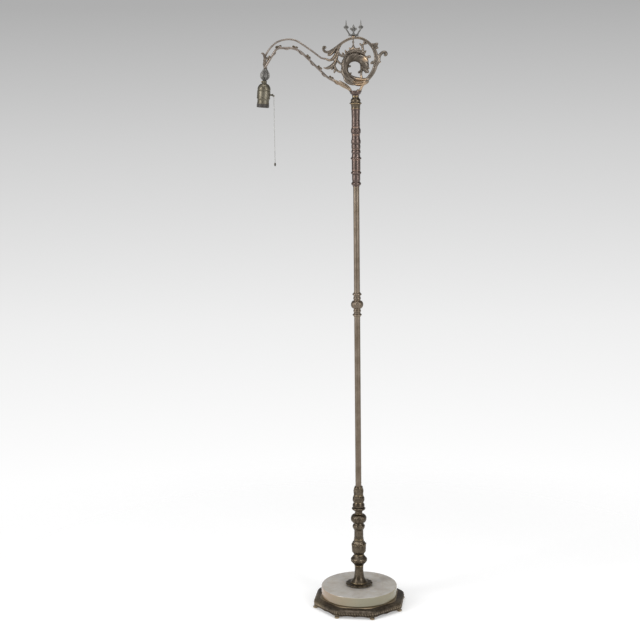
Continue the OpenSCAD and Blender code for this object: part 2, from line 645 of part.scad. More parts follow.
// a bar, or a tube where r_in is above 0, that follows the rings; its walls and its ends
module bent_bar(rings, r_out, r_in, s) {
    n = len(rings);
    inner = n*s;
    outside = [for (i = [0:n - 2], j = [0:s - 1])
        let (a = i*s + j, b = i*s + (j + 1)%s) each [[a, b, b + s], [a, b + s, a + s]]];
    inside = [for (i = [0:n - 2], j = [0:s - 1])
        let (a = inner + i*s + j, b = inner + i*s + (j + 1)%s) each [[b + s, b, a], [a + s, b + s, a]]];
    ends = [for (j = [0:s - 1]) let (k = (j + 1)%s, e = (n - 1)*s) each [
        [j, inner + j, inner + k], [j, inner + k, k],
        [e + j, e + k, inner + e + k], [e + j, inner + e + k, inner + e + j]]];
    caps = [[for (j = [0:s - 1]) s - 1 - j], [for (j = [0:s - 1]) (n - 1)*s + j]];
    outer_points = [for (p = rings) each arm_ring(p, r_out, s)];
    if (r_in > 0)
        polyhedron(concat(outer_points, [for (p = rings) each arm_ring(p, r_in, s)]),
            concat(outside, inside, ends), convexity = 6);
    else
        polyhedron(outer_points, concat(outside, caps), convexity = 6);
}
module arm_tube() color("#7a5a34") in_arm() bent_bar(arm_rings, arm_tube_r, arm_bore_r, 14);
// the wire goes on from the tube's end, down the socket's axis
wire_end = [arm_end[0] - wire_end_drop*sin(drop_tilt), arm_end[1] - wire_end_drop*cos(drop_tilt),
    end_heading];
module arm_wire() color("#5a3a1c") in_arm() bent_bar(concat(arm_rings, [wire_end]), arm_wire_r, 0, 8);

// ---------- scroll bracket ----------

scroll = [rp(-74, 32, 1.3, 0.5), rp(-79, 33.5, 1.9, 0.6), rp(-80.5, 28.5, 2.3, 0.7),
    rp(-75, 22.5, 2.5, 0.7), rp(-64, 22, 2.2, 0.7), rp(-53, 26, 2.4, 0.8), rp(-41, 35, 2.8, 0.8),
    rp(-29, 43.5, 3.1, 0.8), rp(-15, 50.5, 3.2, 0.8), rp(1, 53.6, 3.3, 0.8), rp(16, 52, 3.3, 0.8),
    rp(30, 45, 3.4, 0.9), rp(42, 34, 3.9), rp(50.5, 21, 4.8), rp(54.5, 6, 5.4), rp(53.5, -12, 5.8),
    rp(47.5, -30, 5.6), rp(37, -45, 5), rp(24, -55, 4.2), rp(11, -58, 3.2), rp(-3, -56.5, 2.4, 0.8),
    rp(-14, -52, 1.4, 0.6)];
whorl = [rp(27, -51, 1.6, 0.6), rp(12, -49, 4), rp(-2, -48.5, 5.5, 1.2), rp(-16, -44, 7.5, 1.4),
    rp(-25.5, -33, 9, 1.5), rp(-27, -19, 9, 1.6), rp(-23, -6, 10, 1.7), rp(-13, 2.5, 10.8, 1.8),
    rp(0, 5.5, 11, 1.8), rp(12, 3.5, 12, 1.8), rp(21, -3, 11.5, 1.7), rp(25.5, -13, 9.5, 1.5),
    rp(24.5, -22, 6, 1), rp(23, -31, 1.5, 0.6)];
rod_root = rp(-75, 2, 2.5, 0.55);
joint_leaf = [rod_root, rp(-65, 0.5, 2.8, 0.6), rp(-55, 6, 4.6, 0.8), rp(-48.5, 15, 6, 1),
    rp(-45, 24, 5, 1), rp(-38, 34, 2.4, 0.8)];
lower_leaf = [rp(-50, 5, 3.8), rp(-52.5, -4, 5.8), rp(-58, -12, 5), rp(-66, -16.5, 3.2, 0.8),
    rp(-76, -17.5, 2, 0.6), rp(-86, -15, 1.2, 0.5)];
stem_leaf = [rp(-43, 26, 2, 0.8), rp(-42.5, 17, 2.2, 0.8), rp(-37, 11, 2.4, 0.8), rp(-26, 9, 2.6),
    rp(-16, 11, 2.2)];
tendril = [rp(-51, 0, 2.2, 0.8), rp(-50, -10, 1.8, 0.7), rp(-47.5, -20, 2, 0.7), rp(-42, -28.5, 2.4, 0.8),
    rp(-33, -29.5, 2.8)];
cross_stem = [rp(-52, 8, 2, 0.8), rp(-46, -2, 1.9, 0.8), rp(-39.5, -8, 2, 0.8), rp(-31, -8, 2.2)];
crown = [rp(-24, 11, 2, 1), rp(-16, 18, 3.2, 1.2), rp(-2, 21, 4, 1.3), rp(12, 19.5, 3.6, 1.2),
    rp(23, 13, 2, 1)];
link_leaf = [rp(23, 47, 2.2, 0.8), rp(17, 39, 2, 0.7), rp(19, 31, 2.6, 0.8), rp(22, 19, 2.2), rp(22, 8, 2)];
inner_stem = [rp(12, 0, 1.8), rp(14, -13, 2.4, 0.7), rp(15, -28, 2.3, 0.7), rp(18, -43, 2.2, 0.7),
    rp(23, -52, 1.6, 0.7)];
right_curl = [rp(54, -24, 2.4, 0.9), rp(59, -8, 4.2, 0.8), rp(61, 6, 3.6, 0.7), rp(67, 14, 2.6, 0.6),
    rp(75, 17.5, 2.2, 0.6), rp(81, 15, 2, 0.6), rp(81.5, 9.5, 1.8, 0.6), rp(77, 8.5, 1.4, 0.5)];
right_leg = [rp(26, -53, 3, 0.9), rp(24, -60, 2.6, 0.9), rp(19, -66, 2.4, 0.9), rp(15, -73, 2.8, 1),
    rp(13, -77.5, 3.4, 1.1)];
left_leg = [rp(-9, -52, 2.6, 0.9), rp(-12, -57, 2.2, 0.8), rp(-17, -58.5, 1.4, 0.7)];
// small leaves as [root x, root z, tip x, tip z, half width]
bracket_leaves = [
    [48, 28, 61, 38, 4.2], [47, 31, 47, 41, 3], [56, 4, 68, -8, 3.4], [52, -14, 62, -20, 2.2],
    [49, -9, 43, -3, 2.8], [22, -24, 33, -34, 3], [20, -18, 33, -20, 3],
    [-19, 17, -24, 24, 2.4], [-12, 22, -14, 28, 2.2], [8, 22, 10, 28, 2.2], [17, 18, 20, 26, 2.4],
    [-50, 12, -64, 21, 5.4], [-52, 9, -63, 8, 4], [-50, -6, -60, -20, 3.4], [-49, -18, -53, -28, 1.8],
    [28, -46, 12, -50, 3], [34, -52, 14, -62, 2.8], [-24, -46, -30, -54, 2], [-12, 10, -1, 4, 3.2],
    [10, 8, 22, -2, 4], [-34, -20, -38, -34, 3.4], [-32, -2, -41, -13, 3]];

spire_foot = 23*ring_k;
module scroll_bracket() color("#5f4a28") in_arm() union() {
    strap(scroll, 3, 10, 0.12);
    strap(whorl, 3, 12, 0.12);
    strap(joint_leaf, 3, 8);
    strap(lower_leaf, 2, 8);
    strap(stem_leaf, 2, 8);
    strap(tendril, 2, 6);
    strap(cross_stem, 2, 6);
    strap(crown, 2, 6);
    strap(link_leaf, 2, 6);
    strap(inner_stem, 2, 6);
    strap(right_curl, 3, 8);
    strap(right_leg, 2, 8);
    strap(left_leg, 2, 6);
    for (l = bracket_leaves) {
        a = rp(l[0], l[1], 1);
        b = rp(l[2], l[3], 1);
        leaf(xyz(a), xyz(b), l[4], relief*0.9);
    }
    // foot pad on the collar, spire from the crown to the ring, and the finial's pad
    translate([9, 0, collar_h]) scale([1, 0.85, 1]) cylinder(r1 = 7, r2 = 5, h = 3.2, $fn = 20);
    translate([finial_x - 1, 0, 0]) {
        at(ring_z + spire_foot) cylinder(r1 = 5.4, r2 = 1.9, h = 14, $fn = 12);
        at(ring_z + spire_foot + 12) cylinder(r = 1.8, h = ring_r - spire_foot - 11, $fn = 12);
        at(ring_z + spire_foot + 20) sphere(2.8, $fn = 12);
    }
    translate([finial_x, 0, ring_z + ring_r - 1])
        cylinder(r = 5.5, h = finial_pad_z - ring_z - ring_r + 1, $fn = 24);
}

// ---------- trident finial ----------

// an outer prong curves out of the foot and then stands upright
blade_z = trident_h - 18;
function prong_pt(s, x, z) = [s*x, 0, z, prong_r, prong_r];
function prong_path(s) = smooth([prong_pt(s, 5, 2.6), prong_pt(s, 10, 4.5), prong_pt(s, 14, 10.5),
    prong_pt(s, trident_half_w - 0.6, blade_z - 4), prong_pt(s, trident_half_w, blade_z + 1)], 3);
// a flat blade with two barbs and a long point, its root at the height 0
function blade_side(w, l) = [[1, -w*0.75], [w*0.4, -w*0.45], [w*0.72, -w*0.3], [w, w*0.1], [w*0.9, w*0.35],
    [w*0.5, w*0.2], [w*0.3, w*0.5], [w*0.16, l*0.6], [0.4, l]];
module blade(w, l) rotate([90, 0, 0]) linear_extrude(3.2, center = true) {
    polygon(concat(blade_side(w, l), [[0, l], [0, -w*0.75]]));
    mirror([1, 0]) polygon(concat(blade_side(w, l), [[0, l], [0, -w*0.75]]));
}
module trident_finial() color("#4a4a44") in_arm() translate([finial_x, 0, finial_pad_z]) union() {
    // foot: a flat bar with round ends and a turned boss
    translate([-9.5, -3.4, 0]) cube([19, 6.8, 3.8]);
    for (s = [-1, 1]) translate([s*9.5, 0, 0]) cylinder(r = 3.4, h = 3.8);
    at(3.5) cylinder(r1 = 4.5, r2 = prong_r + 0.3, h = 5);
    at(3.5) cylinder(r = prong_r, h = trident_h*0.45 - 3.5);
    at(trident_h*0.42) blade(7.4, trident_h*0.3);
    at(trident_h*0.42) sphere(3);
    for (s = [-1, 1]) {
        sweep(prong_path(s), 8);
        translate([s*trident_half_w, 0, blade_z]) blade(7.2, trident_h - blade_z);
    }
}

// ---------- upper arm rod and the vine ----------

// a point of the rod: u runs from the ring's leaf (0) to the end leaf (1), rise is over the line
// between the two
function rod_pt(u, rise, w = rod_r, d = rod_r) = let (a = rod_root, b = end_leaf_pt(0.3, 31))
    [a[0] + (b[0] - a[0])*u, 0, a[2] + (b[2] - a[2])*u + rise, w, d];
// a point of the end leaf, measured from the end of the arm tube
function end_leaf_pt(x, z, w = 1, d = 1) = [arm_end[0] + x, 0, arm_end[1] + z, w, d];
rod_start_gap = 0.15;
arm_rod_path = [
    [rod_root[0] - rod_start_gap, 0, rod_root[2] + 0.1, rod_r, rod_r], rod_pt(0.08, 2.3), rod_pt(0.2, 15.5),
    rod_pt(0.36, 31.5), rod_pt(0.48, 42), rod_pt(0.59, 45), rod_pt(0.7, 42.5), rod_pt(0.8, 36.5),
    rod_pt(0.88, 26.5), rod_pt(0.95, 13.5), rod_pt(1, 0, 2, 2)];
end_leaf = [end_leaf_pt(-3.9, 3.2, 1.2, 2), end_leaf_pt(-1.8, 11, 1.8, 3), end_leaf_pt(-0.6, 20, 2.4, 4),
    end_leaf_pt(-1.2, 29, 2.4, 4), end_leaf_pt(-3.6, 35.5, 1.8, 3), end_leaf_pt(-7.5, 37.8, 1.3, 2),
    end_leaf_pt(-9, 35, 0.9, 1.5)];
module arm_rod() color("#7a5c35") in_arm() union() {
    sweep(smooth(arm_rod_path, 4), 8);
    strap(end_leaf, 3, 8);
    // small bracts where the rod leaves the scroll and along its top
    for (i = [1:9]) {
        a = arm_rod_path[i];
        b = arm_rod_path[i + 1];
        leaf(xyz(a) + [0, 0, 0.6], 0.6*xyz(a) + 0.4*xyz(b) + [0, 0, 2.6], rod_r*0.7, rod_r*0.7);
    }
}

strand_from = 24;
strand_to = arm_length - 24;
strand_off = arm_tube_r + strand_r + strand_gap;
strand_steps = 72;
// a point of the vine strand, at the share u of its way
function strand_pt(u) = let (p = arm_at(strand_from + (strand_to - strand_from)*u), a = 360*strand_turns*u,
    w = strand_r*min(1, 0.35 + 5*min(u, 1 - u)))
    [p[0] + strand_off*cos(a)*sin(p[2]), strand_off*sin(a), p[1] + strand_off*cos(a)*cos(p[2]), w, w];
module vine_strand() color("#6a5433") in_arm() union() {
    sweep([for (i = [0:strand_steps]) strand_pt(i/strand_steps)], 6);
    // a pair of small leaves wherever the strand comes over the top of the arm
    for (i = [0:strand_turns]) {
        v = min(max(i/strand_turns, 0.02), 0.98);
        a = strand_pt(v);
        h = arm_at(strand_from + (strand_to - strand_from)*v)[2];
        for (s = [-1, 1])
            leaf(xyz(a), xyz(a) + [-5.5*s*cos(h) + 2.2*sin(h), 0, 5.5*s*sin(h) + 2.2*cos(h)], 1.9, 1.5);
    }
}

// ---------- knuckle, bud and socket ----------

// puts its children on the tilted axis of the socket, the distance d below the end of the arm tube
module on_drop(d) translate([arm_end[0], 0, arm_end[1]]) rotate([0, drop_tilt, 0]) at(-d) children();

module arm_knuckle() color("#54442b") in_arm() on_drop(knuckle_drop) difference() {
    turned(concat([[3.6, 0]], bead(0, knuckle_drop + end_stub, 3.8, 5, 8)), arm_wire_r + 0.2);
    at(knuckle_drop) cylinder(r = arm_tube_r + 0.1, h = end_stub + 2);
}
rib_sag = bud_r - bud_rib_r - 3.2;
rib_chord = bud_h - 3;
rib_bend_r = (rib_chord*rib_chord/4 + rib_sag*rib_sag)/(2*rib_sag);
rib_angle = 2*asin(rib_chord/2/rib_bend_r);
module leaf_bud() color("#4b4434") in_arm() on_drop(socket_drop) difference() {
    union() {
        turned(concat([[4.4, 0], [4.6, 1.5]], flare(2, 4, 4.2, 2.9, 0.5, 3), [[2.9, bud_h - 6]],
            flare(bud_h - 5, bud_h - 3, 3, 4.4, 2, 3), [[4.6, bud_h - 1], [4.2, bud_h]]), 0);
        ring_of(bud_ribs) translate([3.2 - rib_bend_r + rib_sag, 0, bud_h/2]) rotate([90, 0, 0])
            rotate([0, 0, -rib_angle/2]) rotate_extrude(angle = rib_angle)
                translate([rib_bend_r, 0]) circle(bud_rib_r);
    }
    at(-1) cylinder(r = arm_wire_r + 0.3, h = bud_h + 2);
}
bud_ribs = 6;

cap_neck_r = 6;
module socket_cap() color("#6f5f38") in_arm() on_drop(shell_drop) difference() {
    turned(concat([[socket_cap_r, 0], [socket_cap_r, 1.5]],
        bead(1.6, 4, socket_cap_r - 0.3, socket_cap_r + 0.5, 4),
        [[socket_cap_r - 0.2, 5], [socket_cap_r, socket_cap_h*0.5]],
        [for (a = [0:15:75]) [socket_cap_r - (socket_cap_r - cap_neck_r)*(1 - cos(a)),
            socket_cap_h*(0.55 + 0.45*sin(a))]],
        [[cap_neck_r + 1, socket_cap_h], [cap_neck_r, socket_cap_h + 0.8]],
        [[cap_neck_r, socket_cap_h + socket_neck_h - 1.5],
        [cap_neck_r - 1, socket_cap_h + socket_neck_h]]), 0);
    at(-1) cylinder(r = socket_cap_r - socket_wall, h = socket_cap_h*0.55 + 1);
    at(socket_cap_h*0.55 - 0.01)
        cylinder(r1 = socket_cap_r - socket_wall, r2 = cap_neck_r, h = socket_cap_h*0.3);
    at(-1) cylinder(r = arm_wire_r + 0.3, h = socket_cap_h + socket_neck_h + 2);
    at(socket_cap_h + socket_neck_h/2) rotate([0, -90, 0]) cylinder(r = 1.25, h = 20);
    at(shell_drop - bell_drop) rotate([0, 90, 0]) cylinder(r = 1.9, h = 30);
}
module set_screw() color("#9c8a5a") in_arm() on_drop(shell_drop - socket_cap_h - socket_neck_h/2)
    rotate([0, -90, 0]) difference() {
        union() {
            at(arm_wire_r + 0.9) cylinder(r = 1.2, h = cap_neck_r);
            at(cap_neck_r + 0.1) cylinder(r = 2.2, h = 2);
        }
        at(cap_neck_r + 2.1) translate([-0.3, -3, -0.7]) cube([0.6, 6, 2]);
    }
// the shell's upper rim stands inside the cap
shell_lap = 5;
module socket_shell() color("#74633b") in_arm() on_drop(mouth_drop) difference() {
    turned(concat([[socket_shell_r - 0.4, 0], [socket_shell_r, 1]],
        bead(8, 12, socket_shell_r, socket_shell_r + 0.6, 4),
        [[socket_shell_r, socket_shell_h - 6]],
        flare(socket_shell_h - 4, socket_shell_h - 0.3, socket_shell_r, socket_cap_r - socket_wall - 0.2,
            1, 2),
        [[socket_cap_r - socket_wall - 0.2, socket_shell_h + shell_lap]]), socket_shell_r - socket_wall);
}
// the dark ring screws over the shell's mouth and holds a shade
module mouth_ring() color("#1d1b19") in_arm() on_drop(mouth_drop + 1) turned(concat(
    [[socket_shell_r + 0.6, 0]],
    [for (i = [0:5]) each bead(0.6 + i*thread_pitch, 0.5 + (i + 1)*thread_pitch,
        socket_shell_r + 0.75, socket_shell_r + 1.2, 4)], [[socket_shell_r + 0.8, mouth_ring_h]]),
    socket_shell_r + 0.1);
thread_pitch = (mouth_ring_h - 1.2)/6;
sleeve_t = 0.5;
module insulating_sleeve() color("#3a2f22") in_arm() on_drop(mouth_drop - 0.5) difference() {
    cylinder(r = socket_shell_r - socket_wall - 0.05, h = screw_shell_h);
    at(-1) cylinder(r = socket_shell_r - socket_wall - 0.05 - sleeve_t, h = screw_shell_h + 2);
}
// the screw shell has a narrow neck at its top, which fastens it to the switch body
shell_neck_h = 3;
shell_wall_h = screw_shell_h - 0.6 - shell_neck_h;
module screw_shell() color("#b08d4c") in_arm() on_drop(mouth_drop - 1) difference() {
    turned(concat([[bulb_r + 0.35, 0]],
        [for (i = [0:4]) each bead(1 + i*3.6, 1 + i*3.6 + 3.2, bulb_r + 0.35, bulb_r + 0.6, 4)],
        [[bulb_r + 0.35, shell_wall_h + 0.6], [10, shell_wall_h + 1], [10, screw_shell_h - 0.6]]), 9);
    at(-1) cylinder(r = bulb_r, h = shell_wall_h + 1);
}
module switch_body() color("#d8d2c4") in_arm() on_drop(switch_drop) difference() {
    cylinder(r = socket_shell_r - socket_wall - 1, h = switch_h - 0.1);
    for (s = [-1, 1]) translate([s*6.5, 0, switch_h - 3]) cylinder(r = 1.35, h = 4);
    at(switch_drop - bell_drop) rotate([0, 90, 0]) cylinder(r = 1.6, h = 30);
}
module centre_contact() color("#c49a4a") in_arm() on_drop(switch_drop + 0.1) mirror([0, 0, 1])
    turned(concat([[6, 0], [6, 0.6]], flare(0.8, 2.4, 4, 2, 0.6, 4)), 0);
module terminal_screws() color("#a58a4e") in_arm() on_drop(switch_top) for (s = [-1, 1])
    translate([s*6.5, 0, 0]) difference() {
        union() {
            at(-2.9) cylinder(r = 1.25, h = 3);
            cylinder(r = 2.4, h = 1.4);
        }
        translate([-0.3, -3, 0.8]) cube([0.6, 6, 2]);
    }
module chain_bell() color("#6f5f38") in_arm() on_drop(bell_drop) rotate([0, 90, 0]) at(socket_cap_r - 3)
    turned(concat([[1.8, 0], [1.8, 3.2], [2.6, 3.3], [2.6, 4]],
        flare(4.5, 3 + bell_tube_l, 2, bell_mouth_r, 2.4, 6),
        [[bell_mouth_r, 3.4 + bell_tube_l]]), 1.3);

// ---------- pull chain ----------

module at_chain() in_arm() translate([chain_x, 0, chain_z]) children();
// the link that the chain hangs on, free of the bell's mouth
module pull_link() color("#9a8450") at_chain() at(-link_h) difference() {
    turned(bead(0, link_h, 0.9, link_r, 8), 0);
    translate([-5, 0, 1.6]) rotate([0, 90, 0]) cylinder(r = 0.6, h = 10);
}
balls = floor(chain_l/ball_pitch);
module pull_chain() color("#8f7b4c") at_chain() at(-link_h - link_gap) union() {
    at(-chain_l) cylinder(r = 0.45, h = chain_l - 0.2);
    for (i = [0:balls - 1]) at(-ball_r - i*ball_pitch) sphere(ball_r);
}
module chain_bob() color("#3c372c") at_chain() at(-link_h - link_gap - chain_l - bob_h)
    turned(concat([[1.2, 0]], swell(0.4, bob_h*0.45, 1.4, bob_r),
        flare(bob_h*0.5, bob_h, bob_r, 0.8, 1.6)), 0);

base_casting();
cord_bushing();
felt_ring();
onyx_disc();
ballast_disc();
lock_washer();
base_nut();
lower_pipe();
upper_pipe();
pipe_coupling();
post_wire();
foot_flange();
foot_bell();
lower_bead();
leaf_collar();
vase_stem();
oblate_bead();
neck_spool();
ring_collar();
torus_bead();
acanthus_cup();
lower_tube();
knop_lower_end();
knop_ball();
knop_upper_end();
upper_tube();
column_foot();
low_sleeve();
middle_ring();
spindle();
high_ring();
high_sleeve();
column_cap();
swivel_washer();
swivel_nut();
arm_collar();
arm_tube();
arm_wire();
scroll_bracket();
trident_finial();
arm_rod();
vine_strand();
arm_knuckle();
leaf_bud();
socket_cap();
set_screw();
socket_shell();
mouth_ring();
insulating_sleeve();
switch_body();
screw_shell();
centre_contact();
terminal_screws();
chain_bell();
pull_link();
pull_chain();
chain_bob();
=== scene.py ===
# %% [markdown]
# # A bridge floor lamp, dressed in Blender
# The lamp is a cast base with an onyx disc, a post of turned and cast bronze pieces strung on a
# threaded pipe, and a scroll bracket whose bent arm carries a pull-chain socket. Its solids were
# drawn in CAD and packed. This script loads them as a fixed frame, gives each one its finish, and
# replaces the carved pieces with finer ones that sit in the same places.

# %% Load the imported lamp
import json
import math

import bmesh
import bpy
from mathutils import Matrix, Vector

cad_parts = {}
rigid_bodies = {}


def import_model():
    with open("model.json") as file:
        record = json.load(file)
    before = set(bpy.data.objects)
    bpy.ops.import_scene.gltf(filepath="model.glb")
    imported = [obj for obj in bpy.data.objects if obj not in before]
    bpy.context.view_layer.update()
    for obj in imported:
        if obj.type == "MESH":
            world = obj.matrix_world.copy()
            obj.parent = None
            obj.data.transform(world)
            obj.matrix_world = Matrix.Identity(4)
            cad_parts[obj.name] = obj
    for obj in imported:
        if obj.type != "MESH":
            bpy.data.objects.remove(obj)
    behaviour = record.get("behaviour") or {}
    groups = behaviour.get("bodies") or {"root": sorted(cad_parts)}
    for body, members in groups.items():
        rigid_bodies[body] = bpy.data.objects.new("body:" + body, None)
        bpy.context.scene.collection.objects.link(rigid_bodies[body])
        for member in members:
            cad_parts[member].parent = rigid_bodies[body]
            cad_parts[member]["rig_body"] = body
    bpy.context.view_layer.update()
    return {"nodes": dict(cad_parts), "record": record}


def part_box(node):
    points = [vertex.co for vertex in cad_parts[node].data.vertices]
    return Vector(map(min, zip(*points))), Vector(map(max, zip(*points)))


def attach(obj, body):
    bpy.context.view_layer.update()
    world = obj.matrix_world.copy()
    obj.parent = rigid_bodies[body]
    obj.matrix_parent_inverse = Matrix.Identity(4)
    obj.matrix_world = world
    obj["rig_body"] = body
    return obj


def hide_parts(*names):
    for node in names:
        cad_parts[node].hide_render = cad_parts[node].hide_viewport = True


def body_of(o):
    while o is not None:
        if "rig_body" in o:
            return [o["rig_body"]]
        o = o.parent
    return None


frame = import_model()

nodes = frame["nodes"]
MM = 0.001

# %% [markdown]
# ## Camera
# The photograph was taken from a little over the lamp's middle, a few metres away, looking slightly
# down. Setting the place, the aim and the small roll reproduces its frame, so the render can be laid
# over it. The horizontal aim is turned a little aside, because the arm hangs out to one side.

# %% Place the camera
side_turn, look_down, aside, roll = (math.radians(a) for a in (6.5, 10.2, 1.547, -0.7))
distance, eye_height = 3.629, 1.439
focal_length, film_width = 78.75, 36

eye = Vector((math.sin(side_turn) * distance, -math.cos(side_turn) * distance, eye_height))
ahead = Matrix.Rotation(aside, 3, "Z") @ Vector((-eye.x, -eye.y, 0)).normalized()
forward = ahead * math.cos(look_down) - Vector((0, 0, math.sin(look_down)))
level = forward.cross(Vector((0, 0, 1))).normalized()
lean = level.cross(forward)
right = level * math.cos(roll) + lean * math.sin(roll)
up = lean * math.cos(roll) - level * math.sin(roll)


def put_in_scene(name, data):
    """Puts a camera, a lamp or a mesh into the scene as an object of that name."""
    made = bpy.data.objects.new(name, data)
    bpy.context.scene.collection.objects.link(made)
    return made


lens = bpy.data.cameras.new("camera")
lens.lens, lens.sensor_width = focal_length, film_width
camera = put_in_scene("camera", lens)
camera.matrix_world = Matrix.Translation(eye) @ Matrix((right, up, -forward)).transposed().to_4x4()
bpy.context.scene.camera = camera
print("camera at", [round(c, 3) for c in eye])


# %% [markdown]
# ## Node helpers
# Every material and the backdrop are built from nodes. One small function adds a node, sets its own
# properties and fills its sockets with values or with other nodes' outputs. Colours are written as
# the sRGB hex values one would pick from a picture, and one function turns them linear, because the
# renderer computes in linear light. Three more helpers fill a colour ramp, tell what the camera sees
# from what only lights the lamp, and start a material.

# %% Helpers for node trees
def linear(hex_code):
    """An sRGB hex colour as linear red, green, blue and a full alpha."""
    parts = [int(hex_code[i:i + 2], 16) / 255 for i in (1, 3, 5)]
    return [c / 12.92 if c <= 0.04045 else ((c + 0.055) / 1.055) ** 2.4 for c in parts] + [1]


def add(tree, kind, inputs=None, **settings):
    """Adds a node. inputs maps a socket's name or number to a value or to a node's output."""
    made = tree.nodes.new(kind)
    for key, value in settings.items():
        setattr(made, key, value)
    for key, value in (inputs or {}).items():
        if isinstance(value, bpy.types.NodeSocket):
            tree.links.new(value, made.inputs[key])
        else:
            made.inputs[key].default_value = value
    return made


def set_stops(ramp, stops):
    """Gives a Color Ramp node its stops, each a position and a hex colour."""
    marks = ramp.color_ramp.elements
    while len(marks) < len(stops):
        marks.new(0.5)
    for mark, (place, shade) in zip(marks, stops):
        mark.position, mark.color = place, linear(shade)
    return ramp


def seen_directly(tree):
    """1 for rays from the camera, from gloss or through glass, and 0 for the light that falls on things."""
    ray = add(tree, "ShaderNodeLightPath")
    seen = add(tree, "ShaderNodeMath", {0: ray.outputs["Is Camera Ray"], 1: ray.outputs["Is Glossy Ray"]},
               operation="ADD")
    return add(tree, "ShaderNodeMath", {0: seen.outputs[0], 1: ray.outputs["Is Transmission Ray"]},
               operation="ADD", use_clamp=True).outputs[0]


def empty_material(name):
    """A new material without nodes, and its node tree."""
    made = bpy.data.materials.new(name)
    made.use_nodes = True
    made.node_tree.nodes.clear()
    return made, made.node_tree


print("mid grey is", round(linear("#808080")[0], 3))

# %% [markdown]
# ## Backdrop
# The photograph's paper is white under the lamp and grows greyer with height. A world whose colour
# depends on how far up one looks does the same, from every side. Only the camera, reflections and
# glass see that gradient. The light that falls on the lamp comes from an even world and three soft
# panels, so that colours render about as they are written.

# %% Make the world
lowest, highest = -17, 23
even_light = 0.42

world = bpy.data.worlds.new("paper")
bpy.context.scene.world = world
world.use_nodes = True
tree = world.node_tree
tree.nodes.clear()
way = add(tree, "ShaderNodeTexCoord")
parts = add(tree, "ShaderNodeSeparateXYZ", {0: way.outputs["Generated"]})
angle = add(tree, "ShaderNodeMath", {0: parts.outputs["Z"]}, operation="ARCSINE")
share = add(tree, "ShaderNodeMapRange", {"Value": angle.outputs[0], "From Min": math.radians(lowest),
                                         "From Max": math.radians(highest)})
paper = set_stops(add(tree, "ShaderNodeValToRGB", {0: share.outputs[0]}), [
    (0.017, "#ffffff"), (0.078, "#f9f9f9"), (0.17, "#efefef"), (0.262, "#e0e0e0"),
    (0.353, "#d0d0d0"), (0.443, "#bbbbbb"), (0.487, "#afafaf"), (1.0, "#8c8c8c")])
fill = add(tree, "ShaderNodeBackground", {"Color": linear("#ffffff"), "Strength": even_light})
view = add(tree, "ShaderNodeBackground", {"Color": paper.outputs[0], "Strength": 1})
both = add(tree, "ShaderNodeMixShader", {0: seen_directly(tree), 1: fill.outputs[0], 2: view.outputs[0]})
add(tree, "ShaderNodeOutputWorld", {0: both.outputs[0]})
print("the paper darkens from", lowest, "to", highest, "degrees above the level")

# %% [markdown]
# ## Floor
# The lamp stands on the same paper. A disc of floor keeps the lamp's soft shadow. It is a pale
# diffuse surface, with a little glow that only the camera and reflections see, so it reads as white
# without lighting the lamp. Away from the lamp it fades out, and the backdrop shows instead.

# %% Lay the floor
floor_radius, fade_from, fade_to = 3.2, 0.5, 1.5
glow_share = 0.3

form = bmesh.new()
bmesh.ops.create_circle(form, cap_ends=True, segments=96, radius=floor_radius)
sheet = bpy.data.meshes.new("paper_floor")
form.to_mesh(sheet)
form.free()
floor = put_in_scene("paper_floor", sheet)

matte_paper, tree = empty_material("matte studio paper")
way = add(tree, "ShaderNodeTexCoord")
from_lamp = add(tree, "ShaderNodeVectorMath", {0: way.outputs["Object"]}, operation="LENGTH")
fade = add(tree, "ShaderNodeMapRange", {"Value": from_lamp.outputs["Value"], "From Min": fade_from,
                                        "From Max": fade_to}, interpolation_type="SMOOTHSTEP")
surface = add(tree, "ShaderNodeBsdfDiffuse", {"Color": linear("#e2e2e2")})
glow = add(tree, "ShaderNodeEmission", {"Color": linear("#ffffff"), "Strength": seen_directly(tree)})
dark = add(tree, "ShaderNodeEmission", {"Strength": 0.0})
dim = add(tree, "ShaderNodeMixShader", {0: glow_share, 1: dark.outputs[0], 2: glow.outputs[0]})
lit = add(tree, "ShaderNodeAddShader", {0: surface.outputs[0], 1: dim.outputs[0]})
gone = add(tree, "ShaderNodeBsdfTransparent")
whole = add(tree, "ShaderNodeMixShader", {0: fade.outputs[0], 1: lit.outputs[0], 2: gone.outputs[0]})
add(tree, "ShaderNodeOutputMaterial", {0: whole.outputs[0]})
floor.data.materials.append(matte_paper)
print("floor radius", floor_radius, "m")

# %% [markdown]
# ## Lights
# Two tall soft boxes stand to the left and right of the camera. They draw the two upright bands of
# light that the photograph shows on every round piece. A third panel hangs over the lamp.

# %% Hang the soft boxes
def soft_box(name, place, aim, width, height, watts):
    """An area light of that size, turned towards its aim."""
    panel = bpy.data.lights.new(name, "AREA")
    panel.shape, panel.size, panel.size_y, panel.energy = "RECTANGLE", width, height, watts
    turn = (Vector(aim) - Vector(place)).to_track_quat("-Z", "Y")
    put_in_scene(name, panel).matrix_world = Matrix.Translation(place) @ turn.to_matrix().to_4x4()


soft_box("left_box", place=(-2.6, -1.9, 1.9), aim=(0, 0, 0.8), width=0.9, height=2.4, watts=62)
soft_box("right_box", place=(2.6, -2.3, 1.9), aim=(0, 0, 0.8), width=0.9, height=2.4, watts=52)
soft_box("top_box", place=(0, -0.4, 3.6), aim=(0, 0, 0.5), width=2.0, height=2.0, watts=36)
print(len(bpy.data.lights), "soft boxes")


# %% [markdown]
# ## Aged bronze
# Most of the lamp is brass or bronze, cast or turned, then darkened with acid and waxed. Handling
# rubs the high spots back to a golden tone, while crevices keep the dark patina. A number on each
# carved mesh, called wear, says how proud a point stands: above 0 is rubbed and below 0 is a crevice.
# Solids that carry no such number read 0 there, and show the plain patina with its mottling.

# %% A function for the bronze finishes
finishes = {}

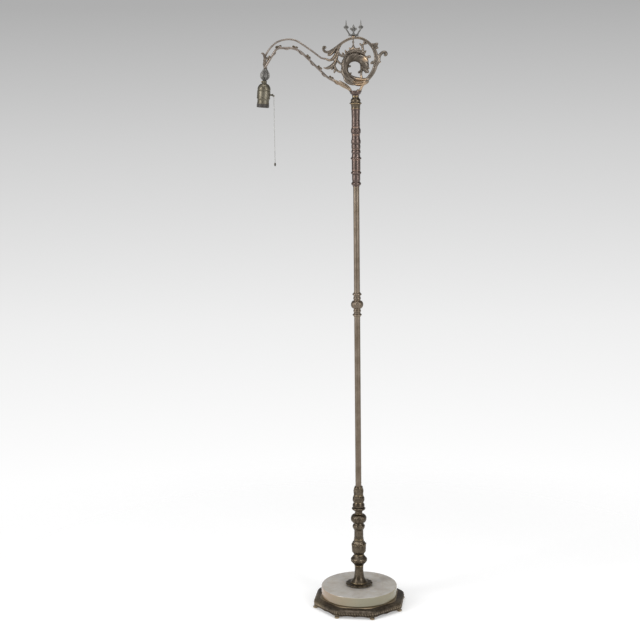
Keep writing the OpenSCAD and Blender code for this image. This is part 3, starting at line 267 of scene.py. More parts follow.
# Moulding sand leaves a grain of about 0.3 mm and a lathe tool rings of 0.2 mm. Both are too fine to
# show here, so the grain is drawn at 2.4 mm, and the rings 4.3 mm apart: a Wave's bands lie
# tau / 20 / Scale apart.
sand_grain = 2.4
ring_scale = 1 / (2.2 * MM) / 6.28
hollow_grime = "#a09c96"


def aged_bronze(name, body, dark, rubbed, roughness=0.36, blotch=9, rings=0.0):
    """Darkened bronze: blotches of that size in mm, turned rings of that share, and worn high spots."""
    finish, tree = empty_material(name)
    place = add(tree, "ShaderNodeTexCoord").outputs["Object"]
    cloud = add(tree, "ShaderNodeTexNoise", {"Vector": place, "Scale": 1 / (blotch * MM), "Detail": 6,
                                             "Roughness": 0.62})
    speck = add(tree, "ShaderNodeTexNoise", {"Vector": place, "Scale": 1 / (sand_grain * MM), "Detail": 2})
    patina = add(tree, "ShaderNodeMapRange", {"Value": cloud.outputs[0], "From Min": 0.34,
                                              "From Max": 0.68})
    ground = add(tree, "ShaderNodeMix", {0: patina.outputs[0], 6: linear(dark), 7: linear(body)},
                 data_type="RGBA")
    wear = add(tree, "ShaderNodeAttribute", attribute_name="wear").outputs["Fac"]
    uneven = add(tree, "ShaderNodeMath", {0: cloud.outputs[0], 1: 0.4, 2: -0.2}, operation="MULTIPLY_ADD")
    proud = add(tree, "ShaderNodeMath", {0: wear, 1: uneven.outputs[0]}, operation="ADD")
    rubbing = add(tree, "ShaderNodeMapRange", {"Value": proud.outputs[0], "From Min": 0.1, "From Max": 1.1,
                                               "To Max": 0.85})
    sunk = add(tree, "ShaderNodeMapRange", {"Value": wear, "From Min": -0.05, "From Max": -1.0})
    worn = add(tree, "ShaderNodeMix", {0: rubbing.outputs[0], 6: ground.outputs[2], 7: linear(rubbed)},
               data_type="RGBA")
    grime = add(tree, "ShaderNodeMix", {0: sunk.outputs[0], 6: linear("#ffffff"), 7: linear(hollow_grime)},
                data_type="RGBA")
    colour = add(tree, "ShaderNodeMix", {0: 1.0, 6: worn.outputs[2], 7: grime.outputs[2]},
                 data_type="RGBA", blend_type="MULTIPLY")
    gloss = add(tree, "ShaderNodeMapRange", {"Value": speck.outputs[0], "From Min": 0.3, "From Max": 0.7,
                                             "To Min": roughness - 0.04, "To Max": roughness + 0.05})
    dull = add(tree, "ShaderNodeMath", {0: sunk.outputs[0], 1: 0.2, 2: gloss.outputs[0]},
               operation="MULTIPLY_ADD")
    lathe = add(tree, "ShaderNodeTexWave", {"Vector": place, "Scale": ring_scale, "Distortion": 0.6},
                bands_direction="Z")
    skin = add(tree, "ShaderNodeMath", {0: lathe.outputs[1], 1: rings, 2: speck.outputs[0]},
               operation="MULTIPLY_ADD")
    relief = add(tree, "ShaderNodeBump", {"Strength": 0.2, "Distance": 0.03 * MM,
                                          "Height": skin.outputs[0]})
    metal = add(tree, "ShaderNodeBsdfPrincipled", {
        "Base Color": colour.outputs[2], "Metallic": 1.0, "Roughness": dull.outputs[0],
        "Normal": relief.outputs[0]})
    add(tree, "ShaderNodeOutputMaterial", {0: metal.outputs[0]})
    return finish


# %% [markdown]
# ## The bronzes of the lamp
# Each group of pieces was darkened in its own bath: the stem is the darkest, the tubes are plainer
# and browner, and the upper column is reddish. The scrollwork is golden where it is rubbed, the rods
# of the arm are paler, and the bud and the trident are grey.

# %% Mix the bronzes
# each: what it is, body, dark and rubbed colour, roughness, size of its blotches in mm, share of rings
bronzes = {
    "dark_bronze": ("cast bronze, dark patina, waxed", "#6f6557", "#453c31", "#9c8a6b", 0.36),
    "tube_bronze": ("drawn brass tube, aged brown", "#85796c", "#6f6355", "#a3937b", 0.4, 22),
    "red_bronze": ("turned bronze, reddish patina", "#6e605a", "#4f443f", "#9b8375", 0.34, 20, 0.1),
    "scroll_bronze": ("cast bronze, golden where rubbed", "#867d73", "#6a6259", "#c4a888", 0.38, 12),
    "arm_brass": ("bent brass, lightly patinated", "#9c9289", "#786e66", "#bcab9c", 0.4, 10),
    "pewter_bronze": ("cast bronze, grey patina", "#7b7976", "#5a5956", "#94918b", 0.44, 6),
    "socket_brass": ("spun brass, tarnished", "#7a7568", "#666053", "#8f8876", 0.42, 20, 0.08),
    "base_iron": ("cast iron, bronze plated and worn", "#665d53", "#40382f", "#a8977c", 0.44, 8),
    "bob_metal": ("turned brass bob, blackened", "#6a6459", "#2f2b26", "#97896c", 0.35, 3),
    "brass": ("plain brass", "#a8946c", "#7c6c4c", "#cdbb8c", 0.3, 10, 0.3),
    "chain_nickel": ("bead chain, nickel plated", "#bdbcb8", "#a9a8a4", "#c9c8c4", 0.5, 4)}
for slot, recipe in bronzes.items():
    finishes[slot] = aged_bronze(*recipe)
print(len(finishes), "bronzes")

# %% [markdown]
# ## Onyx
# The disc is onyx marble, sawn, ground and polished. Water laid the stone down in layers, so it is
# cloudy pale grey with faint veins. On its rim the layers are seen edge on, where the stone is
# deeper in colour, rosy on one side and olive on the other. Light enters it a little, so its edges
# are soft. Round the foot of the stem the stone is darkened by a painted shadow. A pattern that is
# squeezed in height and tilted gives such layers without an image.

# %% Mix the onyx
cloud_size, vein_size, vein_width = 46, 38, 0.03
edge_reach = 0.1
# painted shadow round the foot of the stem: strongest at the first radius in mm, gone at the second
shadow_from, shadow_to, shadow_share = 34, 66, 0.3

onyx, tree = empty_material("polished banded onyx")
place = add(tree, "ShaderNodeTexCoord").outputs["Object"]
layers = add(tree, "ShaderNodeMapping", {"Vector": place, "Rotation": (0.25, 0.5, 0.4),
                                         "Scale": (1, 1, 2.2)})
cloud = add(tree, "ShaderNodeTexNoise", {"Vector": layers.outputs[0], "Scale": 1 / (cloud_size * MM),
                                         "Detail": 7, "Roughness": 0.5, "Distortion": 0.4})
vein = add(tree, "ShaderNodeTexNoise", {"Vector": layers.outputs[0], "Scale": 1 / (vein_size * MM),
                                        "Detail": 5, "Roughness": 0.45, "Distortion": 1.2})
off = add(tree, "ShaderNodeMath", {0: vein.outputs[0], 1: 0.5}, operation="SUBTRACT")
thin = add(tree, "ShaderNodeMath", {0: off.outputs[0]}, operation="ABSOLUTE")
line = add(tree, "ShaderNodeMapRange", {"Value": thin.outputs[0], "From Min": 0.0, "From Max": vein_width,
                                        "To Min": 0.16, "To Max": 0.0})
stone = set_stops(add(tree, "ShaderNodeValToRGB", {0: cloud.outputs[0]}), [
    (0.30, "#a49d94"), (0.45, "#afaaa2"), (0.55, "#b5b0aa"), (0.70, "#aba69d")])
side = add(tree, "ShaderNodeSeparateXYZ", {0: place})
facing = add(tree, "ShaderNodeSeparateXYZ", {0: add(tree, "ShaderNodeTexCoord").outputs["Normal"]})
rim = add(tree, "ShaderNodeMapRange", {"Value": facing.outputs["Z"], "From Min": 0.9, "From Max": 0.3})
across = add(tree, "ShaderNodeMapRange", {"Value": side.outputs["X"], "From Min": -edge_reach,
                                          "From Max": edge_reach})
edge = set_stops(add(tree, "ShaderNodeValToRGB", {0: across.outputs[0]}), [
    (0.0, "#a9917b"), (0.3, "#9d9078"), (0.6, "#94907a"), (1.0, "#989078")])
depth = add(tree, "ShaderNodeMix", {0: rim.outputs[0], 6: stone.outputs[0], 7: edge.outputs[0]},
            data_type="RGBA")
veined = add(tree, "ShaderNodeMix", {0: line.outputs[0], 6: depth.outputs[2], 7: linear("#857461")},
             data_type="RGBA")
flat = add(tree, "ShaderNodeMapping", {"Vector": place, "Scale": (1, 1, 0)})
away = add(tree, "ShaderNodeVectorMath", {0: flat.outputs[0]}, operation="LENGTH")
# painted shadow: the stone darkens towards the foot of the stem
foot_shadow = add(tree, "ShaderNodeMapRange", {"Value": away.outputs["Value"], "From Min": shadow_from * MM,
                                        "From Max": shadow_to * MM, "To Min": shadow_share, "To Max": 0.0})
shadowed = add(tree, "ShaderNodeMix", {0: foot_shadow.outputs[0], 6: veined.outputs[2], 7: linear("#7d7266")},
            data_type="RGBA")
polish = add(tree, "ShaderNodeMapRange", {"Value": cloud.outputs[0], "To Min": 0.1, "To Max": 0.2})
body = add(tree, "ShaderNodeBsdfPrincipled", {
    "Base Color": shadowed.outputs[2], "Roughness": polish.outputs[0], "IOR": 1.55, "Subsurface Weight": 0.12,
    "Subsurface Radius": (1.0, 0.75, 0.5), "Subsurface Scale": 4 * MM})
add(tree, "ShaderNodeOutputMaterial", {0: body.outputs[0]})
finishes["onyx"] = onyx
print("onyx clouds about", cloud_size, "mm across")

# %% [markdown]
# ## Small finishes
# The moulded parts, the steel pipe, the felt, the cloth-covered wire and the ceramic are simple
# surfaces with one pattern each: a fine grain that changes the colour, the roughness and the bump.
# Most of them lie inside the lamp or under it, where they show only when it is taken apart.

# %% A function for grained surfaces
def grained(name, light, dark, grain, roughness, bump, metallic=0.0, stretch=(1, 1, 1)):
    """A surface with a fine grain of that size in mm, between two colours."""
    finish, tree = empty_material(name)
    place = add(tree, "ShaderNodeTexCoord").outputs["Object"]
    pulled = add(tree, "ShaderNodeMapping", {"Vector": place, "Scale": stretch})
    fleck = add(tree, "ShaderNodeTexNoise", {"Vector": pulled.outputs[0], "Scale": 1 / (grain * MM),
                                             "Detail": 4})
    tone = add(tree, "ShaderNodeMix", {0: fleck.outputs[0], 6: linear(dark), 7: linear(light)},
               data_type="RGBA")
    gloss = add(tree, "ShaderNodeMapRange", {"Value": fleck.outputs[0], "To Min": roughness - 0.08,
                                             "To Max": roughness + 0.08})
    lumps = add(tree, "ShaderNodeBump", {"Strength": 0.4, "Distance": bump * MM,
                                         "Height": fleck.outputs[0]})
    body = add(tree, "ShaderNodeBsdfPrincipled", {
        "Base Color": tone.outputs[2], "Roughness": gloss.outputs[0], "Metallic": metallic,
        "Normal": lumps.outputs[0]})
    add(tree, "ShaderNodeOutputMaterial", {0: body.outputs[0]})
    return finish


# %% Mix the small finishes
# each: what it is, light and dark colour, size of its grain in mm, roughness, height of its bumps in mm
plain_finishes = {
    "bakelite": ("moulded bakelite, dark brown", "#4d4843", "#37332f", 1.5, 0.34, 0.03),
    "bushing": ("moulded nylon bushing", "#26221d", "#191714", 1.2, 0.42, 0.03),
    "felt": ("wool felt, needled", "#5d5546", "#40392e", 0.7, 0.95, 0.35),
    "wire": ("rayon-braided lamp wire", "#6b4526", "#422813", 0.9, 0.7, 0.2),
    "fibre": ("pressed paper fibre", "#54452f", "#392e1f", 0.8, 0.85, 0.08),
    "ceramic": ("unglazed steatite ceramic", "#ded7c8", "#c9c0ad", 1.0, 0.6, 0.05),
    "ballast_iron": ("cast iron, black paint", "#34322f", "#1e1d1b", 1.6, 0.55, 0.2)}
for slot, recipe in plain_finishes.items():
    finishes[slot] = grained(*recipe)
finishes["steel"] = grained("zinc-plated steel pipe", "#b5b4ae", "#8b8a84", 1.4, 0.38, 0.04,
                            metallic=1.0, stretch=(1, 1, 0.15))
print(len(finishes), "finishes in all")

# %% [markdown]
# ## Dress the solids
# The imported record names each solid's finish. Every solid gets the matching material here, also the
# ones that carved pieces will stand in for later.

# %% Give every solid its finish
for part in frame["record"]["subparts"]:
    skin = nodes[part["node"]].data.materials
    skin.clear()
    skin.append(finishes[part["material_slot"]])


# %% [markdown]
# ## Carved metal
# Cast ornament is full of leaves, veins and grooves, and between them lie turned shapes. Three
# helpers draw both. The first lays a smooth line through a few points. The second sweeps a changing
# section along such a line, by extruding a circle ring by ring, which suits scrolls, stems and
# leaves. The third spins an outline as a lathe does.

# %% Smooth lines, swept sections and spun outlines
def smooth_line(points, steps):
    """A smooth line through points of any size, with that many steps from one to the next."""
    rows = [Vector(p) for p in points]
    rows = [rows[0]] + rows + [rows[-1]]
    line = []
    for a, b, c, d in zip(rows, rows[1:], rows[2:], rows[3:]):
        for t in (k / steps for k in range(steps)):
            line.append(0.5 * (2 * b + (c - a) * t + (2 * a - 5 * b + 4 * c - d) * t * t
                               + (3 * b - a - 3 * c + d) * t ** 3))
    return line + [rows[-1]]


def plain_section(share, angle):
    """A round section, as shares of the half width and half depth."""
    return math.cos(angle), math.sin(angle)


def sweep(form, line, section=plain_section, count=14):
    """Sweeps a section along a line; each point is x, y, z, half width and half depth in mm."""
    turn = form.verts.layers.float.get("turn") or form.verts.layers.float.new("turn")
    ring = bmesh.ops.create_circle(form, segments=count, radius=1)["verts"]
    for v in ring:
        v[turn] = math.atan2(v.co.y, v.co.x)
    edges = [e for e in form.edges if e.verts[0] in set(ring) and e.verts[1] in set(ring)]
    bmesh.ops.contextual_create(form, geom=edges)
    last = len(line) - 1
    for i, point in enumerate(line):
        if i:
            grown = bmesh.ops.extrude_edge_only(form, edges=edges)["geom"]
            ring = [g for g in grown if isinstance(g, bmesh.types.BMVert)]
            edges = [g for g in grown if isinstance(g, bmesh.types.BMEdge)
                     and g.verts[0] in set(ring) and g.verts[1] in set(ring)]
        way = Vector(line[min(i + 1, last)][:3]) - Vector(line[max(i - 1, 0)][:3])
        across = Vector((0, 1, 0)).cross(way).normalized()
        lift = way.cross(across).normalized()
        wide, deep = point[3], point[4]
        for v in ring:
            a, b = section(i / last, v[turn])
            v.co = (Vector(point[:3]) + across * wide * a + lift * deep * b) * MM
    bmesh.ops.contextual_create(form, geom=edges)


def spun(form, outline, place=Matrix(), steps=24):
    """Adds a shape spun from an outline of radius, height points in mm, moved to a place."""
    turned = bmesh.new()
    corners = [turned.verts.new((r * MM, 0, z * MM)) for r, z in outline]
    sides = [turned.edges.new(pair) for pair in zip(corners, corners[1:])]
    bmesh.ops.spin(turned, geom=corners + sides, cent=(0, 0, 0), axis=(0, 0, 1), dvec=(0, 0, 0),
                   angle=math.tau, steps=steps, use_merge=True)
    bmesh.ops.remove_doubles(turned, verts=turned.verts, dist=0.02 * MM)
    bmesh.ops.holes_fill(turned, edges=turned.edges)
    bmesh.ops.recalc_face_normals(turned, faces=turned.faces)
    bmesh.ops.transform(turned, matrix=place, verts=turned.verts)
    shape = bpy.data.meshes.new("turned")
    turned.to_mesh(shape)
    turned.free()
    form.from_mesh(shape)


print("ready to sweep and spin")

# %% [markdown]
# ### Wear
# The bronzes ask how proud each point stands. It is measured by comparing the mesh with a smoothed
# copy of itself: what rises over the copy gets rubbed, and what lies under it gathers grime. Where
# hands or cloths have polished one place more than the shape tells, that is added round a point.

# %% Filing, wear and rubbed places
def soften(form, times):
    """Evens a skin out, as filing and polishing do."""
    for _ in range(times):
        bmesh.ops.smooth_vert(form, verts=form.verts, factor=0.5, use_axis_x=True, use_axis_y=True,
                              use_axis_z=True)


def note_wear(form, reach=6, depth=0.3, blur=2):
    """Stores how far each vertex stands over a smoothed surface, as a share of depth in mm, evened out."""
    wear = form.verts.layers.float.get("wear") or form.verts.layers.float.new("wear")
    form.normal_update()
    held = [(v, v.co.copy(), v.normal.copy()) for v in form.verts]
    soften(form, reach)
    proud = [(place - v.co).dot(out) / (depth * MM) for v, place, out in held]
    usual = sorted(proud)[len(proud) // 2]
    for (v, place, _), rise in zip(held, proud):
        v[wear] = max(-1, min(1, rise - usual))
        v.co = place
    for _ in range(blur):
        near = [sum(e.other_vert(v)[wear] for e in v.link_edges) / len(v.link_edges) for v in form.verts]
        for v, mean in zip(form.verts, near):
            v[wear] = (v[wear] + mean) / 2


def rub(form, centre, reach, amount):
    """Adds to the wear round a point in mm, less and less out to that reach: polished where it is held."""
    wear = form.verts.layers.float["wear"]
    for v in form.verts:
        near = 1 - (v.co / MM - Vector(centre)).length / reach
        if near > 0:
            v[wear] = max(-1, min(1, v[wear] + amount * min(1, 2 * near)))


print("ready to file and rub")

# %% [markdown]
# ### One skin, and one piece
# A casting is one skin, so overlapping shapes are melted together by a voxel remesh. A finished
# shape then becomes a piece: it gets its material, rides on a body of the frame, and stands for the
# solids that it replaces.

# %% Melt a skin and finish a piece
def fused(form, cell):
    """Melts overlapping closed shapes into one skin with cells of that size in mm, as a casting is one."""
    bmesh.ops.recalc_face_normals(form, faces=form.faces)
    shape = bpy.data.meshes.new("melt")
    form.to_mesh(shape)
    form.free()
    melt = put_in_scene("melt", shape)
    remesh = melt.modifiers.new("one skin", "REMESH")
    remesh.mode, remesh.voxel_size, remesh.adaptivity = "VOXEL", cell * MM, 0
    skin = bmesh.new()
    skin.from_mesh(melt.evaluated_get(bpy.context.evaluated_depsgraph_get()).to_mesh())
    bpy.data.objects.remove(melt)
    return skin


def finish_piece(form, name, body, slot, *stands_for, look=None):
    """Turns a bmesh into a shaded piece that rides on a body and stands for solids; look is its finish."""
    shape = bpy.data.meshes.new(name)
    for face in form.faces:
        face.smooth = True
    form.to_mesh(shape)
    form.free()
    piece = put_in_scene(name, shape)
    shape.materials.append(finishes[look or slot])
    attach(piece, body)
    if stands_for:
        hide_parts(*stands_for)
    print(name, len(shape.polygons), "faces,", [round(s / MM) for s in piece.dimensions], "mm")


print("ready to finish pieces")


# %% [markdown]
# ## Scroll bracket
# The bracket is one flat casting: a ring that ends in a curl, a thick whorl of acanthus inside it,
# leaves where the two arm rods spring, and a crown with a spire. It could be cut from a plate, but a
# caster's model is built up from rolls of wax, laid side by side and worked into one. So each stem
# and leaf is swept on its own with its own section, and all of them are then melted into one skin.

# %% Places on the bracket
arm_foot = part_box("arm_collar")[0].z / MM
ring_x, ring_z = -1.0, arm_foot + 91.7
casting = bmesh.new()


def lay(points, steps, section=plain_section, count=14):
    """Lays a stem or leaf: from the ring's centre x, z, half width, and half depth as a share of 5 mm."""
    line = [(ring_x + x, 0, ring_z + z, wide, 5 * (deep[0] if deep else 1.0))
            for x, z, wide, *deep in points]
    sweep(casting, smooth_line(line, steps), section, count)


def lobes(share, count, turn=0.0):
    """Rounded lobes with sharp notches, from 0 in a notch to 1 on a lobe."""
    return abs(math.sin(math.pi * (share * count + turn))) ** 0.6


def leaf_section(count, cut=0.2, veins=0.2):
    """The section of a leaf whose edges have that many lobes, with a raised midrib and side veins."""
    def section(share, angle):
        side, face = math.cos(angle), math.sin(angle)
        edge = 1 - cut * (1 - lobes(share, count, 0.25 * abs(side)))
        rib = 0.2 * math.exp(-(side / 0.25) ** 2)
        groove = veins * abs(side) ** 0.6 * (1 - lobes(share, count, 0.35 * abs(side)))
        return side * edge, face * (0.8 + rib - groove)
    return section


def reeded(share, angle):
    """The section of the ring: a rounded band with a shallow hollow along its face."""
    side, face = math.cos(angle), math.sin(angle)
    return side, face * (0.95 - 0.28 * math.exp(-(side / 0.34) ** 2))


print("the ring's centre is", round(ring_z - arm_foot, 1), "mm over the arm's foot")

# %% [markdown]
# ### The whorl
# The whorl is the heart of the bracket: an acanthus leaf rolled into a crescent. Its outer edge has
# rounded lobes, and a broad flute runs from every notch slantwise to the smooth inner edge.

# %% Lay the ring and the whorl
def acanthus_roll(share, angle):
    """The section of the whorl: broad flutes that slant across it, and lobes along its outer edge."""
    side, face = math.cos(angle), math.sin(angle)
    lobe = lobes(share, 7, 0.45 * side)
    reach = 1 + 0.16 * (lobe - 0.7) * (side < 0)
    return side * reach, face * (1.06 - 0.55 * (1 - lobe) * (0.55 - 0.45 * side))


scroll = [(-76.5, 27.5, 2.2, 0.8), (-75.5, 31, 2.8, 0.8), (-79.5, 31.5, 3.4, 0.9), (-80.5, 25.5, 3.4, 0.9),
          (-75.5, 19.5, 3.4, 0.9), (-66, 19.5, 3.8, 0.9), (-54, 25.5, 3.8, 0.8), (-41, 35, 3.4, 0.8),
          (-29, 43.5, 3.3, 0.8), (-15, 50.5, 3.4, 0.8), (1, 53.6, 3.4, 0.8), (16, 52, 3.5, 0.8),
          (30, 45, 3.6, 0.9), (42, 34, 4.0), (50.5, 21, 4.8), (54.5, 6, 5.4), (53.5, -12, 5.8),
          (47.5, -30, 5.6), (37, -45, 5.4), (25, -56.5, 4.6), (14, -60, 2.6, 0.8)]
whorl = [(8, -57, 1.6, 0.6), (1, -57, 3, 0.9), (-7, -54, 5.6, 1.2), (-17.5, -46, 8, 1.4),
         (-25.5, -33, 9.4, 1.5), (-26.5, -19, 9.4, 1.6), (-22.5, -6, 10.4, 1.7), (-13, 2.5, 11, 1.8),
         (0, 5.5, 11.4, 1.8), (12, 3.5, 12.4, 1.8), (21, -3, 12.4, 1.8), (25, -13, 11.4, 1.6),
         (25.5, -22, 8.6, 1.3), (27.5, -29.5, 5, 1), (29.5, -35.5, 1.8, 0.6)]
lay(scroll, 10, reeded, 20)
lay(whorl, 14, acanthus_roll, 36)
print(len(casting.verts), "vertices in the ring and the whorl")

# %% [markdown]
# ### Stems and leaves
# Stems are plain bars that swell and thin. Leaves are broad smooth bands with a soft rib and a few
# lobes, drawn to a point: the caster filed their faces flat, and years of dusting made them golden.

# %% Lay the stems and the leaves
stems = [
    [(-43, 28, 3.2, 0.9), (-42.5, 18, 3.2, 0.9), (-37, 10.5, 3.2, 0.9), (-28, 8, 3.4), (-18, 12, 3.4),
     (-8, 16, 3)],
    [(-50, 4, 3.4, 0.9), (-52, -8, 3, 0.8), (-51.5, -18, 2.8, 0.8), (-46, -27.5, 3, 0.8), (-38, -31.5, 3),
     (-30, -31, 3)],
    [(-52, 9, 2.8, 0.8), (-46, -1, 2.8, 0.8), (-40, -8.5, 2.8, 0.8), (-32, -13, 3)],
    [(25.5, 46, 2.8, 0.8), (23.5, 39, 2.6, 0.8), (19.5, 33.5, 3.2, 0.9), (20.5, 26, 3.2), (22, 16, 3)],
    [(13, -2, 2.6), (16.5, -13, 3.6, 0.8), (17, -26, 3.6, 0.8), (15.5, -38, 3.2, 0.8), (17.5, -50, 3)],
    [(28, -55, 4.2, 1), (23, -61.5, 3.6, 1), (18, -68, 3.2, 0.9), (15, -74, 3.4, 1),
     (13.5, -77.5, 3.8, 1.1)],
    [(-27, -42, 3), (-24, -51, 5, 1.2), (-16.5, -58, 4.8, 1.2), (-8, -62, 3.6, 1), (0, -64, 1.6, 0.7)]]
for points in stems:
    lay(points, 6)

# each leaf: its lobes and its points from root to tip
leaves = [
    (3, [(-75, 2, 2.6, 0.6), (-66, -1.5, 3.4, 0.9), (-57.5, 1, 4.2, 1.2), (-51, 9, 4.4, 1.4),
         (-46, 19, 4, 1.3), (-40, 30, 3, 1), (-34, 38, 1.8, 0.7)]),
    (2, [(-70, 11, 2.4, 0.7), (-62.5, 13, 3.8, 1), (-56, 18.5, 4.2, 1.3), (-51, 26, 3.4, 1.1),
         (-47, 32, 2, 0.8)]),
    (3, [(-43.5, 15, 2.6), (-46.5, 4, 3.8, 1.2), (-51, -8, 5, 1.5), (-58, -15.5, 5.6, 1.3),
         (-66.5, -20, 4.6, 1), (-74, -21.5, 3, 0.8), (-81, -20, 1.4, 0.6)]),
    (2, [(-54, -14, 3), (-58, -21, 3.6, 0.9), (-60, -26.5, 1.5, 0.6)]),
    (2, [(-51, -20, 2.6), (-52, -28, 3.4, 0.9), (-54, -34.5, 1.5, 0.6)]),
    (2, [(52, -22, 3, 0.9), (59.5, -6, 5, 0.9), (61.5, 5, 5, 0.9), (66, 12, 4.6, 0.9), (72, 16.5, 4.2, 0.9),
         (78, 16.5, 3.8, 0.9), (80.8, 11.5, 3.4, 0.9), (77, 8.5, 3, 0.8), (75.5, 12, 2.4, 0.7)]),
    (2, [(34, -54, 4, 0.9), (26, -60, 4.6, 1.3), (15, -63, 4.6, 1.5), (4, -63.5, 3.8, 1.2),
         (-6, -61, 1.6, 0.8)]),
    (1, [(-10, -55, 4, 0.7), (4, -57, 5, 0.7), (18, -57, 5, 0.7), (30, -54, 3, 0.7)]),
    (2, [(36, -50, 3.6, 1), (26, -51, 4.4, 1.6), (12, -50.5, 5, 1.7), (-1, -47, 4.4, 1.5),
         (-13, -39, 1.8, 0.9)]),
    (3, [(45, 26, 4), (50, 31.5, 6.4), (54.5, 36, 5.6, 0.9), (59.5, 39.5, 2, 0.6)]),
    (2, [(47, 29, 3), (46.5, 35.5, 4, 0.8), (42.5, 39, 1.8, 0.6)]),
    (2, [(50, 26, 3), (56.5, 28, 3.4, 0.8), (60, 26, 1.5, 0.6)]),
    (2, [(-29, 9, 2.6), (-30, 14, 3, 0.8), (-33, 17, 1.4, 0.6)]),
    (2, [(19, 34, 2.6), (14.5, 37, 2.8, 0.8), (13, 40.5, 1.2, 0.6)]),
    (2, [(24, 40, 2.4), (28.5, 38.5, 2.6, 0.8), (31.5, 40.5, 1.2, 0.6)]),
    (2, [(26, 0, 3), (33, 5, 4, 0.9), (38, 6.5, 3, 0.8), (39, 2.5, 1.6, 0.6)]),
    (2, [(54, 2, 3), (61, -5, 4, 0.9), (66.5, -8.5, 1.6, 0.6)]),
    (3, [(52, -8, 3), (46, -8.5, 4.8, 0.9), (40, -12, 2, 0.7)]),
    (3, [(25, -24, 4), (31, -30, 4.6, 0.9), (35.5, -34.5, 1.8, 0.6)]),
    (2, [(28, -17, 3), (33.5, -21.5, 3.2, 0.9), (36.5, -25, 1.5, 0.6)]),
    (2, [(14, -30, 2.4), (10, -32.5, 2.8, 0.8), (9, -36, 1.3, 0.6)]),
    (2, [(-19, -34, 2.4), (-12.5, -36, 3, 0.9), (-9, -33, 1.4, 0.6)]),
    (2, [(-18, -19, 2.4), (-13, -17, 2.8, 0.9), (-11.5, -20, 1.4, 0.6)])]

# filing has left the notches and the veins of these leaves shallow
filed = {"cut": 0.16, "veins": 0.07}
for count, points in leaves:
    lay(points, 9, leaf_section(count, **filed), 20)
print(len(stems), "stems and", len(leaves), "leaves")

# %% [markdown]
# ### Crown, spire and pads
# Over the whorl sits a stepped crown like a moulded cornice, with two studs and a small leaf at each
# end, and a turned spire joins it to the ring. Small turned pads carry the bracket on its collar,
# and the trident on top. Each of these is a line of radii that is spun round its own axis.

# %% Add the crown and the spire
for rise, reach, wide, deep in [(19.5, 25, 2.6, 1.9), (23.4, 20, 2.4, 1.6), (26.6, 13, 1.9, 1.3)]:
    end_z, half_z = rise - 0.011 * reach ** 2, rise - 0.003 * reach ** 2
    lay([(1 - reach, end_z, wide * 0.8, deep), (1 - reach / 2, half_z, wide, deep), (1, rise, wide, deep),
         (1 + reach / 2, half_z, wide, deep), (1 + reach, end_z, wide * 0.8, deep)], 8, reeded, 20)
for points in [[(-18, 13, 2.8), (-22.5, 18, 3, 0.9), (-25, 24, 1.4, 0.7)],
               [(20, 13, 2.8), (25.5, 17, 3, 0.9), (29, 22, 1.4, 0.7)]]:
    lay(points, 8, leaf_section(2, **filed), 16)
stud = [(0.1, 24), (2, 24.5), (2.4, 26.5), (2.2, 28.4), (1.2, 29.8), (0.1, 30.2)]
spire = [(0.1, 22), (6.2, 22), (6.4, 28), (5, 29), (4.2, 31), (3, 33.5), (2.2, 37), (1.7, 40), (2.9, 41.6),
         (3.1, 43), (2.6, 44.5), (1.7, 46), (1.5, 50), (1.9, 53), (0.1, 53.5)]
foot_pad = [(0.1, -78.8), (7, -78.8), (7, -77.6), (5.6, -76.6), (5.2, -75.6), (0.1, -75.4)]
top_pad = [(0.1, 52), (4.4, 52), (4.6, 54), (5.5, 55), (5.5, 57.9), (0.1, 58)]
for outline, x in [(stud, -14), (stud, 10), (spire, -5), (foot_pad, 9), (top_pad, -4)]:
    spun(casting, outline, Matrix.Translation((x * MM, 0, ring_z * MM)))
print(len(casting.verts), "vertices before the bracket is melted")

# %% [markdown]
# ### One casting
# All of it is melted into one skin and filed. The whorl's heart has kept its grime. Its right
# shoulder has a painted highlight, the ring's foot is rubbed bright, the curled ends and spire are dull.

# %% Melt the bracket and rub it
skin = fused(casting, cell=0.62)
soften(skin, times=7)
note_wear(skin, reach=14, depth=0.45, blur=3)
# the second place, on the whorl's right shoulder, is a painted highlight; the rest are wear and grime
rubbed_and_highlit_places = [(-2, -15, 40, -0.7), (23, -1, 13.5, 1.4), (14, -57, 24, 0.9), (-54, 6, 20, 0.25),
                 (0, 24, 20, 0.2), (-10, 53, 44, 0.2), (52, 36, 13, -0.5), (-78, 28, 14, -0.6),
                 (78, 13, 14, -0.5), (-5, 40, 13, -0.6)]
for x, z, reach, amount in rubbed_and_highlit_places:
    rub(skin, (ring_x + x, 0, ring_z + z), reach, amount)
finish_piece(skin, "cast_scroll_bracket", "arm", "scroll_bronze", "scroll_bracket")


# %% [markdown]
# ## Post pieces on the lathe
# The post is a row of pieces that were turned, or cast from turned and carved models. Their solids
# could be dressed with bump alone, but then the outline would stay smooth. So each solid is cut
# through its axis, the cut outline is refined and spun again with many more steps, and carving is
# pushed into the surface. Every piece keeps the outline and the bore of its solid.

# %% Spin a solid's own outline again
weld = 0.002 * MM


def sideways(co):
    """The same vector without its height."""
    return Vector((co.x, co.y, 0))


